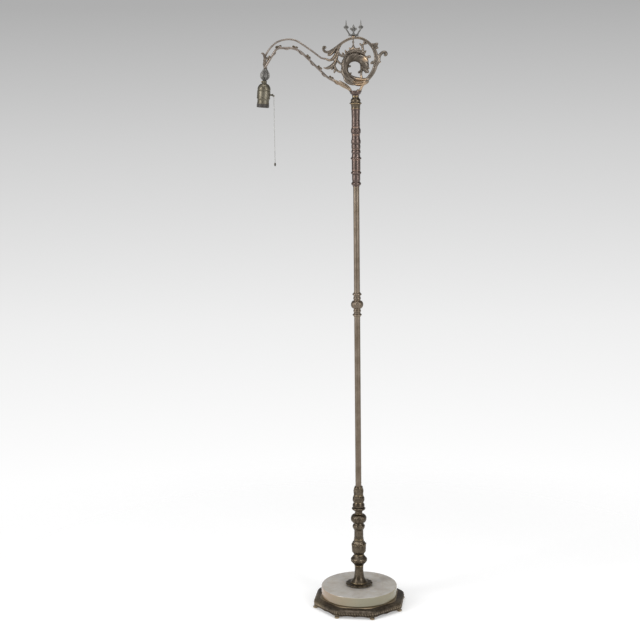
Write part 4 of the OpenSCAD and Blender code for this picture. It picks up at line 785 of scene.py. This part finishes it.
def relathe(node, turn=0.0, steps=120, gap=1.2, carve=None, reach=6, depth=0.5, place=Matrix(), bore=7.5):
    """Spins the outline that a solid has at that angle; carve(angle, share of height) pushes out in mm."""
    form = bmesh.new()
    form.from_mesh(nodes[node].data)
    bmesh.ops.transform(form, matrix=place.inverted(), verts=form.verts)
    low, high = (pick(v.co.z for v in form.verts) for pick in (min, max))
    bmesh.ops.remove_doubles(form, verts=form.verts, dist=weld)
    bmesh.ops.rotate(form, verts=form.verts, cent=(0, 0, 0), matrix=Matrix.Rotation(-turn, 3, "Z"))
    cut = bmesh.ops.bisect_plane(form, geom=form.verts[:] + form.edges[:] + form.faces[:], dist=1e-7,
                                 plane_co=(0, 0, 0), plane_no=(0, 1, 0))["geom_cut"]
    line = [e for e in cut if isinstance(e, bmesh.types.BMEdge) and min(v.co.x for v in e.verts) > -1e-6]
    keep, kept_edges = {v for e in line for v in e.verts}, set(line)
    bmesh.ops.delete(form, geom=form.faces[:], context="FACES_ONLY")
    bmesh.ops.delete(form, geom=[e for e in form.edges if e not in kept_edges], context="EDGES")
    bmesh.ops.delete(form, geom=[v for v in form.verts if v not in keep], context="VERTS")
    for edge in [e for e in form.edges if e.calc_length() > gap * 1.5 * MM]:
        if min(v.co.xy.length for v in edge.verts) > bore * MM:
            bmesh.ops.subdivide_edges(form, edges=[edge], cuts=int(edge.calc_length() / (gap * MM)))
    bmesh.ops.spin(form, geom=form.verts[:] + form.edges[:], cent=(0, 0, 0), axis=(0, 0, 1), dvec=(0, 0, 0),
                   angle=math.tau, steps=steps, use_merge=True)
    bmesh.ops.remove_doubles(form, verts=form.verts, dist=weld)
    bmesh.ops.recalc_face_normals(form, faces=form.faces)
    form.normal_update()
    if carve:
        for v, out in [(v, v.normal.copy()) for v in form.verts]:
            r = v.co.xy.length
            if r > bore * MM and out.dot(sideways(v.co)) > -0.2 * r:
                push = carve(math.atan2(v.co.y, v.co.x), (v.co.z - low) / (high - low))
                v.co += sideways(v.co).normalized() * push * MM
    bmesh.ops.transform(form, matrix=place, verts=form.verts)
    note_wear(form, reach, depth)
    return form


print("lathe ready")

# %% [markdown]
# ### Leaves for the lathe
# One rule draws every row of acanthus leaves on the post: it gives the height of the relief at an
# angle and a share of the piece's height. The pieces differ only in how many leaves they have, where
# the row starts and ends, and how far the tips lean out.

# %% A row of leaves
def leafwork(angle, share, count, start, end, height, phase=0.0, tip=0.0):
    """A row of upright leaves between two shares of the height, each with a midrib and side veins."""
    u = (share - start) / (end - start)
    if not 0 < u < 1:
        return 0.0
    side = abs(((angle * count / math.tau + phase) % 1) - 0.5) * 2
    edge = 1.04 * math.sin(math.pi * (0.34 + 0.63 * u)) ** 0.8 - 0.16 * (1 - lobes(u, 4, 0.3 * side)) - side
    if edge <= 0:
        return 0.0
    flat = min(1, edge * 6) * min(1, u * 8)
    rib = 0.5 * math.exp(-(side / 0.12) ** 2)
    vein = 0.35 * (1 - lobes(u, 7, -0.5 * side)) * (side > 0.12)
    return height * flat * (0.7 + rib - vein) + tip * flat * max(0, (u - 0.72) / 0.28) ** 2


def carve_pieces(work, slot):
    """Spins and carves: work maps a solid to its piece, turn in degrees, steps, gap in mm and carving."""
    for node, (name, turn, steps, gap, carving) in work.items():
        finish_piece(relathe(node, math.radians(turn), steps, gap, carving), name, "post", slot, node)


print("the midrib of a leaf stands", round(leafwork(math.tau / 16, 0.5, 8, 0, 1, 1.0), 2), "of its height")

# %% [markdown]
# ### Foot of the stem
# A flange with sixteen petals, which droop like a skirt from the foot of the bell, lies on the onyx.
# Its solid is a plain dished flange, so it isn't cut from that: its outline is drawn anew and spun.
# Then the rim is drawn in between the petals, and each petal is let down at its sides.

# %% Drape the flange
petals, skirt_from, skirt_reach = 16, 24, 11
skirt = [(8.2, 7.4), (23.2, 7.5), (26, 7.3), (30, 6.5), (34, 5.3), (35.6, 4.4), (35, 3.4), (32, 2.7),
         (28, 1.9), (25, 1.2), (24, 0), (8.2, 0), (8.2, 7.4)]
skirt_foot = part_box("foot_flange")[0].z
flange = bmesh.new()
spun(flange, [(p.x, p.z) for p in smooth_line([(r, 0, z) for r, z in skirt], 6)],
     Matrix.Translation((0, 0, skirt_foot)), steps=12 * petals)
for v in flange.verts:
    r = v.co.xy.length / MM
    share = max(0.0, min(1.0, (r - skirt_from) / skirt_reach))
    side = abs(((math.atan2(v.co.y, v.co.x) * petals / math.tau) % 1) - 0.5) * 2
    r += share * (0.7 - 2.4 * max(0.0, side - 0.7) / 0.3)
    v.co = Vector((*(v.co.xy.normalized() * r * MM), v.co.z + share * (0.9 - 1.5 * side * side) * MM))
bmesh.ops.recalc_face_normals(flange, faces=flange.faces)
note_wear(flange, reach=8, depth=0.4)
finish_piece(flange, "petalled_flange", "post", "dark_bronze", "foot_flange")

# %% [markdown]
# ### Bell, bead and leaf collar
# The bell flares over the flange, and a bead with low leaves and a collar of standing acanthus
# leaves follow. The leaf tips stand out from the collar. All three were cast from turned models, so
# they are spun from their solids, and the leaves are pushed out of the surface.

# %% Carve the foot of the stem
def bell_leaves(angle, share):
    """Low upright leaves on the flare of the bell, and a fine cord round its waist."""
    cord = 0.25 * lobes(angle * 18 / math.tau, 1) * math.exp(-((share - 0.47) / 0.025) ** 2)
    return leafwork(angle, share, 8, 0.04, 0.42, 0.45) + cord


def bead_leaves(angle, share):
    """Leaves that close over the bead from above and below."""
    return (leafwork(angle, share, 8, 0.03, 0.52, 0.7) + leafwork(angle, 1 - share, 8, 0.04, 0.55, 0.7, 0.5)
            - 0.45 * math.exp(-((share - 0.5) / 0.03) ** 2))


def collar_leaves(angle, share):
    """Standing acanthus leaves whose tips lean out, and smaller ones behind them."""
    return (leafwork(angle, share, 8, 0.03, 0.72, 1.2, 0, 1.1)
            + leafwork(angle, share, 8, 0.25, 0.84, 0.6, 0.5, 0.8)
            + leafwork(angle, 1 - share, 8, 0.0, 0.22, 0.5, 0.5) - 0.5)


carve_pieces({"foot_bell": ("flared_bell", 0, 96, 1.2, bell_leaves),
              "lower_bead": ("leafy_bead", 0, 144, 0.9, bead_leaves),
              "leaf_collar": ("acanthus_collar", 22.5, 160, 0.9, collar_leaves)}, "dark_bronze")

# %% [markdown]
# ### Vase, beads and cup
# Above the collar the stem narrows to a fluted neck with a lobed shoulder. Gadroons, which are
# rounded ribs, run over the beads. The cup that holds the tube is wrapped in acanthus leaves.

# %% Carve the middle of the stem
def vase_carving(angle, share):
    """Flutes round the neck, lobes over the shoulder."""
    turn = angle * 12 / math.tau
    flute = (-0.4 * (1 - abs(math.sin(math.pi * turn))) ** 1.5 * (0.1 < share < 0.6)
             * min(1, (share - 0.1) * 12))
    lobe = 0.9 * (lobes(turn, 1) - 0.6) * math.exp(-((share - 0.78) / 0.12) ** 2)
    return flute + lobe + leafwork(angle, share, 6, 0.0, 0.4, 0.35)


def gadroons(count, size, slant=0.0):
    """Rounded ribs that run over a bead and fade at its ends."""
    def carve(angle, share):
        rib = lobes(angle * count / math.tau, 1, slant * share) - 0.6
        return size * rib * math.sin(math.pi * share) ** 0.6
    return carve


def beaded(count, rise, size=0.6):
    """A row of small beads round a piece, at that share of its height."""
    def carve(angle, share):
        return size * lobes(angle * count / math.tau, 1) * math.exp(-((share - rise) / 0.07) ** 2)
    return carve


def cup_leaves(angle, share):
    """Six leaves round the tube with six behind them; their tips lean away from the tube."""
    return (leafwork(angle, share, 6, -0.1, 0.97, 1.3, 0.0, 1.6)
            + leafwork(angle, share, 6, 0.1, 0.8, 0.5, 0.5, 1.0) - 0.35)


carve_pieces({"vase_stem": ("fluted_vase", 15, 144, 0.9, vase_carving),
              "oblate_bead": ("gadrooned_bead", 0, 144, 0.9, gadroons(14, 1.0)),
              "neck_spool": ("turned_spool", 0, 72, 1.2, None),
              "ring_collar": ("beaded_collar", 0, 144, 0.9, beaded(28, 0.2)),
              "torus_bead": ("gadrooned_torus", 0, 144, 0.9, gadroons(16, 0.9, 0.5)),
              "acanthus_cup": ("carved_cup", 30, 144, 0.8, cup_leaves)}, "dark_bronze")

# %% [markdown]
# ### Knop and upper column
# The knop and the column were turned more plainly. Their beads carry light cuts, and the sleeves
# between them are smooth, so that only wear and the two bands of light show. The cap over them is
# as dark as the stem.

# %% Carve the knop and the column
column_work = {
    "knop_lower_end": (None, "tube_bronze"), "knop_ball": (gadroons(14, 0.8), "tube_bronze"),
    "knop_upper_end": (None, "tube_bronze"), "column_foot": (beaded(20, 0.18, 0.4), "red_bronze"),
    "low_sleeve": (None, "red_bronze"), "middle_ring": (beaded(22, 0.1, 0.5), "red_bronze"),
    "spindle": (gadroons(12, 0.35), "red_bronze"), "high_ring": (gadroons(16, 0.6, 0.6), "red_bronze"),
    "high_sleeve": (None, "red_bronze"), "column_cap": (beaded(24, 0.42, 0.5), "red_bronze")}
for node, (carving, slot) in column_work.items():
    look = "dark_bronze" if node == "column_cap" else slot
    finish_piece(relathe(node, 0, 96, 1.0, carving), "turned_" + node, "post", slot, node, look=look)
for node in ("lower_tube", "upper_tube"):
    finish_piece(relathe(node, 0, 64, 6.0), "drawn_" + node, "post", "tube_bronze", node)


# %% [markdown]
# ## Base casting
# The base is an iron casting, plated and coloured like bronze: an eight-sided pan with a domed
# shoulder, a lower rim that is scalloped between eight small feet, and a band of leaning leaves in
# low relief. It could be cut from a block, but its solid is easiest to refine on the lathe: the
# outline at the middle of a side is spun, and every point is then pushed out to the eight-sided plan.

# %% Plan and relief of the base
side_half = math.pi / 8
reach_out = max(v.co.xy.length for v in nodes["base_casting"].data.vertices if v.co.z > 0.01) / MM
flat_half = reach_out * math.sin(side_half)
wall_low, wall_tall, leaf_pitch = 8.5, 9, 7
shoulder_low, shoulder_tall, reed_pitch = 17.5, 5.3, 4.2
arch_middle, arch_half, arch_tall = 18, 17, 2


def along_side(x, y):
    """Angle from the middle of the nearest side, and the distance along that side in mm."""
    angle = (math.atan2(y, x) + side_half) % (2 * side_half) - side_half
    return angle, math.tan(angle) * reach_out * math.cos(side_half)


def leaf_band(t, z):
    """Relief of the wall in mm: leaning leaves between two fillets, and fine reeds on the shoulder."""
    if wall_low < z < wall_low + wall_tall:
        u = (z - wall_low) / wall_tall
        lean = t / leaf_pitch + 0.55 * u
        side = abs((lean % 1) - 0.5) * 2
        leaf = max(0, math.sin(math.pi * (0.12 + 0.76 * u)) - 0.75 * side)
        return -1.5 + 1.5 * leaf ** 0.7 + 0.35 * math.exp(-(side / 0.16) ** 2) * leaf
    if shoulder_low <= z < shoulder_low + shoulder_tall:
        reed = lobes(t / reed_pitch - 0.12 * (z - shoulder_low), 1)
        return -0.7 * (1 - reed) * math.sin(math.pi * (z - shoulder_low) / shoulder_tall)
    return 0.0


def arch_height(t):
    """How far an arch lifts the lower rim, at that distance along a side; there are two to a side."""
    return max(0, arch_tall * (1 - (abs(abs(t) - arch_middle) / arch_half) ** 2))


def corner_cut(angle):
    """How far a corner is softened, as a share of the radius; it starts 0.7 of the way to the corner."""
    return 0.022 * max(0, abs(angle) / side_half / 0.3 - 7 / 3) ** 2


print("a side of the base is", round(2 * flat_half, 1), "mm long")

# %% Spin the base and push it out
hole_r, wall_inner = 9, 95
rim_z, rim_fade = 5.5, 5

pan = relathe("base_casting", 0, 560, 0.85, bore=wall_inner)
for v, out in [(v, v.normal.copy()) for v in pan.verts]:
    r, z = v.co.xy.length / MM, v.co.z / MM
    if r < hole_r:
        continue
    angle, t = along_side(v.co.x, v.co.y)
    on_wall = r > wall_inner
    z += (arch_height(t) if on_wall else 0) * max(0, 1 - (z - rim_z) / rim_fade)
    outside = out.dot(sideways(v.co)) > 0.15 * v.co.xy.length
    fade = min(1, (flat_half - abs(t)) / 2.5) if outside and on_wall else 0
    r += leaf_band(t, z) * max(0, fade)
    plan = 1 / math.cos(angle) - (corner_cut(angle) if on_wall else 0)
    v.co = sideways(v.co).normalized() * r * plan * MM + Vector((0, 0, z * MM))
print(len(pan.verts), "vertices in the pan")

# %% [markdown]
# ### Seat, feet and wear
# A flat seat is sunk into the rear wall for the cord's bushing. Eight small turned feet stand under
# the corners. The left and the right end of the base are lightened towards the rubbed colour.

# %% Sink the seat and set the feet
low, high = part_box("cord_bushing")
seat_z = (low.z + high.z) / 2
seat_y = high.y - 2.1 * MM
seat_r, seat_blend = 6.4, 0.5
for v in pan.verts:
    apart = math.hypot(v.co.x, v.co.z - seat_z) / MM
    if v.co.y > seat_y and apart < seat_r:
        v.co.y += (seat_y - v.co.y) * min(1, (seat_r - apart) / seat_blend)
foot_line = [(0.05, 0), (4.6, 0), (5.9, 0.9), (6.7, 2.0), (7, 2.9), (6.5, 4.2), (5.2, 5.3), (4.2, 5.8),
             (4, 9), (0.05, 9.2)]
foot_r = reach_out - 7
for i in range(8):
    turn = Matrix.Rotation(side_half * (2 * i + 1), 4, "Z") @ Matrix.Translation((foot_r * MM, 0, 0))
    spun(pan, foot_line, turn, steps=32)
bmesh.ops.recalc_face_normals(pan, faces=pan.faces)
note_wear(pan, reach=5, depth=0.45)
rub(pan, centre=(-118, -40, 12), reach=62, amount=0.5)
rub(pan, centre=(118, -45, 12), reach=50, amount=0.3)
finish_piece(pan, "embossed_base", "post", "base_iron", "base_casting")


# %% [markdown]
# ## Arm
# The arm is a bent brass tube that carries the socket and its wire. A cast vine winds round it,
# and a thinner rod bows over it, from the scroll bracket to a leaf at the end. The tube's way is a
# row of straight runs and bends, as on a bending jig: each run has a length, each bend a radius and
# an angle.

# %% Walk along the arm
runs_and_bends = [(4, 0), (40, -21), (43, 0), (60, 17), (79, 0), (55, -44), (21.5, 0), (15, -57), (46, 0),
                  (6, -28), (2.5, 0)]
x, z, heading = -10.5, arm_foot + 10.3, math.radians(48)
step_long = 1.5
arm_way = [(x, z, heading)]
for size, turn in runs_and_bends:
    length = math.radians(abs(turn)) * size if turn else size
    count = max(1, round(length / step_long))
    for _ in range(count):
        heading += math.radians(turn) / count / 2
        x -= length / count * math.cos(heading)
        z += length / count * math.sin(heading)
        heading += math.radians(turn) / count / 2
        arm_way.append((x, z, heading))
low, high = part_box("arm_tube")
tube_r = (high.y - low.y) / 2 / MM
print("the arm ends at", round(x, 1), round(z - arm_foot, 1), "mm; its solid spans",
      round(low.x / MM, 1), "to", round(high.x / MM, 1))


def on_arm(share, aside=0.0, over=0.0):
    """A point beside or over the arm's centre line, at that share of its way, in mm."""
    at = share * (len(arm_way) - 1)
    i = min(int(at), len(arm_way) - 2)
    x, z, heading = (a + (b - a) * (at - i) for a, b in zip(arm_way[i], arm_way[i + 1]))
    return Vector((x + over * math.sin(heading), aside, z + over * math.cos(heading)))


# %% [markdown]
# ### Tube with its root leaf
# The tube was drawn and bent, so it is smooth and plain. Where it leaves the collar, a cast leaf
# wraps it and runs out in a point. A curve object with a round bevel would give the tube too, but a
# swept section is used, because the leaf is swept along the same line with a section of its own.

# %% Make the tube and its root leaf
tube = bmesh.new()
sweep(tube, [(p.x, 0, p.z, tube_r, tube_r) for p in (on_arm(i / 180) for i in range(181))], count=24)
bmesh.ops.recalc_face_normals(tube, faces=tube.faces)
note_wear(tube, reach=4, depth=1.0)
finish_piece(tube, "bent_arm_tube", "arm", "tube_bronze", "arm_tube", look="arm_brass")
leaf_line = [(0.012, 3.6, 3.6), (0.045, 4.6, 4.0), (0.085, 5.2, 4.2), (0.13, 4.6, 4.0), (0.18, 3.8, 3.6),
             (0.235, 3.1, 3.1)]
leaf_curl = [(0.03, 2.6, 2.6, 3), (0.07, 4.6, 2.8, 2.6), (0.11, 6, 2.2, 2), (0.15, 8, 0.8, 1)]
root = bmesh.new()
wrap = [(*on_arm(share, 0, 0.6), wide, deep) for share, wide, deep in leaf_line]
sweep(root, smooth_line(wrap, 12), leaf_section(3, 0.08, 0.06), 32)
curl = [(*on_arm(share, 0, over), wide, deep) for share, over, wide, deep in leaf_curl]
sweep(root, smooth_line(curl, 8), leaf_section(2, 0.1, 0.06), 20)
root = fused(root, cell=0.5)
soften(root, times=4)
note_wear(root, reach=8, depth=0.5)
rub(root, centre=on_arm(0.1), reach=40, amount=0.55)
finish_piece(root, "arm_root_leaf", "arm", "scroll_bronze")

# %% [markdown]
# ### Vine
# The vine is a thin cast strand that winds six times round the tube. Pairs of small, round leaves
# lie along the arm wherever the strand comes over the top. The strand is swept along a helix whose
# axis is the arm's own way, so that it follows every bend. The leaves are darker, and are a piece of
# their own.

# %% Wind the vine
low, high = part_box("vine_strand")
strand_r, strand_steps, winds = 1.15, 330, 6
strand_off = (high.y - low.y) / 2 / MM - strand_r
arm_length, bare_end = 288.6, 24
first, last = bare_end / arm_length, 1 - bare_end / arm_length
vine, buds = bmesh.new(), bmesh.new()
strand = []
for i in range(strand_steps + 1):
    u = i / strand_steps
    angle = math.tau * winds * u
    thick = strand_r * min(1, 0.35 + 5 * min(u, 1 - u)) * (1 + 0.12 * math.sin(angle * 5))
    at = first + (last - first) * u
    strand.append((*on_arm(at, strand_off * math.sin(angle), strand_off * math.cos(angle)), thick, thick))
sweep(vine, strand, count=10)
# each small leaf: distance along the arm, height over its centre line, half width, half depth
small_leaf = [(0, 3.9, 1.6, 1.6), (2.5, 4.8, 2.9, 2.0), (5, 5.2, 2.5, 1.6), (7, 4.8, 1.1, 0.9)]
for i in range(winds + 1):
    share = first + (last - first) * min(max(i / winds, 0.015), 0.985)
    for way in (-1, 1):
        points = [(*on_arm(share + way * t / arm_length, 0, h), w, d) for t, h, w, d in small_leaf]
        sweep(buds, smooth_line(points, 7), leaf_section(2, 0.15, 0.1), 16)
vine, buds = fused(vine, cell=0.4), fused(buds, cell=0.4)
note_wear(vine, reach=5, depth=0.3)
note_wear(buds, reach=6, depth=0.4)
finish_piece(buds, "vine_leaves", "arm", "scroll_bronze", look="dark_bronze")
finish_piece(vine, "wound_vine", "arm", "scroll_bronze", "vine_strand", look="arm_brass")

# %% [markdown]
# ### Upper rod and end leaf
# The rod was cast with the leaf that ends it, and filed smooth along its bow. The leaf curls over
# above the knuckle, with smaller leaves folded round its root. All are swept, and then melted into
# one skin, which rounds off the folds as a casting does.

# %% Bow the rod and fold its end leaf
end = Vector((arm_way[-1][0], 0, arm_way[-1][1]))
rod_from = Vector((ring_x - 75, 0, ring_z + 2))
rod_to = end + Vector((0.3, 0, 31))
bow = [(0, 0), (0.08, 2.3), (0.2, 15.5), (0.36, 31.5), (0.48, 42), (0.59, 45), (0.7, 42.5), (0.8, 36.5),
       (0.88, 26.5), (0.95, 13.5), (1, 0)]
rod_points = [(*(rod_from.lerp(rod_to, u) + Vector((0, 0, rise))), 2.4, 2.4) for u, rise in bow]
rod = bmesh.new()
sweep(rod, smooth_line(rod_points, 14), count=18)

# each leaf: x and z from the end of the tube, half width, half depth
end_leaf = [(-3.6, 3.2, 2, 2.4), (-1.6, 11, 3.4, 3.2), (-0.8, 20, 4.0, 4), (-1.4, 29, 3.6, 4),
            (-3.8, 35.5, 3, 3), (-7.5, 38.3, 2.4, 2.2), (-10.2, 36.6, 1.2, 1.5)]
folded = [[(3, 6, 1.5, 2.2), (5, 11, 2.6, 2.6), (5.4, 17, 2.2, 2.2), (8.5, 22.5, 0.6, 1)],
          [(-3, 5, 1.5, 2.2), (-4.5, 10, 2.4, 2.6), (-3.6, 16, 1.6, 2), (-5.5, 21, 0.5, 1)],
          [(0.5, 22, 1.4, 2), (4, 27, 2.0, 2), (7.2, 29.5, 0.6, 1)]]
for points, count in [(end_leaf, 6)] + [(points, 4) for points in folded]:
    line = smooth_line([(end.x + x, 0, end.z + z, w, d) for x, z, w, d in points], 9)
    sweep(rod, line, leaf_section(count), 20)
rod = fused(rod, cell=0.45)
note_wear(rod, reach=6, depth=0.4)
rub(rod, centre=end + Vector((-2, 0, 20)), reach=26, amount=-0.7)
finish_piece(rod, "bowed_rod_with_leaf", "arm", "scroll_bronze", "arm_rod", look="arm_brass")

# %% [markdown]
# ### Knuckle, bud and socket
# A turned knuckle ends the tube, and from it hangs a bud of six cast leaves round a spool. The
# socket below is spun from sheet brass in two parts, a cap and a shell. All of them stand on one
# axis that leans a little, so the lathe works here on an axis set along the drop.

# %% Turn the knuckle and the socket
drop_lean = math.radians(5)
drop = Matrix.Translation(end * MM) @ Matrix.Rotation(drop_lean, 4, "Y")


def rolled_grooves(angle, share):
    """Grooves rolled into the sheet at mid height and just over the lower edge."""
    return -0.9 * math.exp(-((share - 0.45) / 0.03) ** 2) - 0.6 * math.exp(-((share - 0.07) / 0.025) ** 2)


# each solid: its slot, the spacing of its points in mm, and its carving
turned_drop = {"arm_knuckle": ("scroll_bronze", 0.4, None),
               "socket_cap": ("socket_brass", 0.6, rolled_grooves),
               "socket_shell": ("socket_brass", 0.6, None),
               "mouth_ring": ("bakelite", 0.3, None)}
for node, (slot, gap, carving) in turned_drop.items():
    form = relathe(node, math.radians(90), 96, gap, carving, place=drop, bore=3)
    if node == "socket_cap":
        rub(form, centre=drop @ Vector((0, 0, -36 * MM)) / MM, reach=10, amount=-0.7)
    finish_piece(form, "turned_" + node, "arm", slot, node)


# %% Carve the bud
def petal_section(share, angle):
    """The section of a petal: wide with thin edges, and faintly notched along its length."""
    return (math.cos(angle) * (1 + 0.16 * math.cos(angle * 2)),
            math.sin(angle) * (1 - 0.12 * (1 - lobes(share, 5))))


bud_petals, bud_top = 6, 31
core = [(0.05, -29.6), (3, -29), (5, -26), (7.6, -20.5), (7.5, -15), (5.7, -9), (4, -4), (0.05, -2)]
petal_line = [(3.4, 1.5, 1.6, 1.6), (5.6, 5, 3.2, 2.4), (7.6, 10.5, 4.3, 2.6), (7.3, 16, 4.1, 2.5),
              (5.7, 22, 3.1, 2.0), (4.2, 27, 1.8, 1.5), (4.8, 29.4, 0.9, 1.0)]
bud = bmesh.new()
bud.from_mesh(nodes["leaf_bud"].data)
spun(bud, core, drop)
for i in range(bud_petals):
    petal = bmesh.new()
    line = smooth_line([(x, 0, z - bud_top, w, d) for x, z, w, d in petal_line], 8)
    sweep(petal, line, petal_section, 20)
    turn = Matrix.Rotation(math.tau * i / bud_petals, 4, "Z")
    bmesh.ops.transform(petal, matrix=drop @ turn, verts=petal.verts)
    part = bpy.data.meshes.new("petal")
    petal.to_mesh(part)
    petal.free()
    bud.from_mesh(part)
bud = fused(bud, cell=0.4)
soften(bud, times=3)
note_wear(bud, reach=8, depth=1.2)
finish_piece(bud, "cast_leaf_bud", "arm", "pewter_bronze", "leaf_bud")

# %% [markdown]
# ### Trident finial
# The finial is a small grey casting: three prongs on a bar with round ends. The outer blades are
# broad spades with long points, and the middle one is a lily with two curled side leaves. Blades
# this flat could be cut from a sheet; swept leaves give them a rounded face and a thin edge.

# %% Cast the trident
trident = bmesh.new()
foot = ring_z + 58
mid = -4
blade_section = leaf_section(2, 0.1, 0.1)


def blade(x, base, points):
    """Sweeps a flat pointed blade that stands at x over a base; points are heights and half widths."""
    line = [(x, 0, base + z, w, max(0.4, min(1.7, w))) for z, w in points]
    sweep(trident, smooth_line(line, 6), blade_section, 24)


bar = [(-12.6, 1.9, 3.2), (-9, 1.9, 3.4), (0, 2.2, 3.4), (9, 1.9, 3.4), (12.6, 1.9, 3.2)]
sweep(trident, smooth_line([(mid + x, 0, foot + half, half, deep) for x, half, deep in bar], 6), count=20)
stalk = [(0.05, 2), (4.6, 2.2), (4.8, 3.8), (3.6, 5.2), (2.2, 7.6), (1.7, 11), (1.7, 14.6), (3, 16),
         (3.2, 17.4), (2.4, 19), (0.05, 19.4)]
spun(trident, stalk, Matrix.Translation((mid * MM, 0, foot * MM)))
prong = [(5, 2.6), (10, 4.5), (14, 10.5), (18.1, 17), (18.7, 20)]
spade = [(-5.5, 1.5), (-3.4, 4.6), (-1.2, 6.6), (0.4, 7.1), (1.8, 5.4), (3.2, 3.2), (6, 2.0), (10, 1.3),
         (15, 0.8), (17.9, 0.35)]
curl = [(1, 12, 1.8), (3.6, 15.6, 3.0), (6.4, 18.4, 2.6), (8.2, 16.0, 1.2)]
lily = [(-4.5, 2.0), (-2, 4.0), (0.5, 5.2), (3.5, 4.8), (6.5, 3.1), (9.5, 1.5), (12.1, 0.4)]
for way in (-1, 1):
    sweep(trident, smooth_line([(mid + way * x, 0, foot + z, 1.8, 1.8) for x, z in prong], 8), count=14)
    blade(mid + way * prong[-1][0], foot + 22.5, spade)
    line = smooth_line([(mid + way * x, 0, foot + z, w, 1.3) for x, z, w in curl], 6)
    sweep(trident, line, leaf_section(2), 16)
blade(mid, foot + 17, lily)
trident = fused(trident, cell=0.35)
note_wear(trident, reach=8, depth=0.5)
finish_piece(trident, "cast_trident", "arm", "pewter_bronze", "trident_finial")

# %% [markdown]
# ### Pull chain
# The switch is pulled by a fine chain of plated balls. Each ball is stamped from a tiny tube round
# the ends of its links, so the chain is a row of balls with short wires between them. One ball of a
# few dozen faces is copied down the line.

# %% String the beads
low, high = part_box("pull_chain")
bead_r = (high.x - low.x) / 2 / MM
bead_gap, link_r = 0.9, 0.3
ball = bmesh.new()
bmesh.ops.create_icosphere(ball, subdivisions=2, radius=bead_r * MM)
bead_mesh = bpy.data.meshes.new("bead")
ball.to_mesh(bead_mesh)
ball.free()
chain = bmesh.new()
middle = (low + high) / 2
count = int((high.z - low.z) / MM / (2 * bead_r + bead_gap))
for i in range(count):
    chain.from_mesh(bead_mesh)
    chain.verts.ensure_lookup_table()
    height = low.z + bead_r * MM + (high.z - low.z - 2 * bead_r * MM) * i / (count - 1)
    bead = chain.verts[-len(bead_mesh.vertices):]
    bmesh.ops.translate(chain, verts=bead, vec=(middle.x, middle.y, height))
link_ends = (low.z + 0.001, high.z - 0.001)
sweep(chain, [(middle.x / MM, middle.y / MM, z / MM, link_r, link_r) for z in link_ends], count=8)
bmesh.ops.recalc_face_normals(chain, faces=chain.faces)
finish_piece(chain, "bead_pull_chain", body_of(nodes["pull_chain"])[0], "socket_brass", "pull_chain",
             look="chain_nickel")


# %% [markdown]
# ## View transform
# The render shows its colours through the Standard view transform.

# %% Set the view transform
scene = bpy.context.scene
scene.view_settings.view_transform = "Standard"
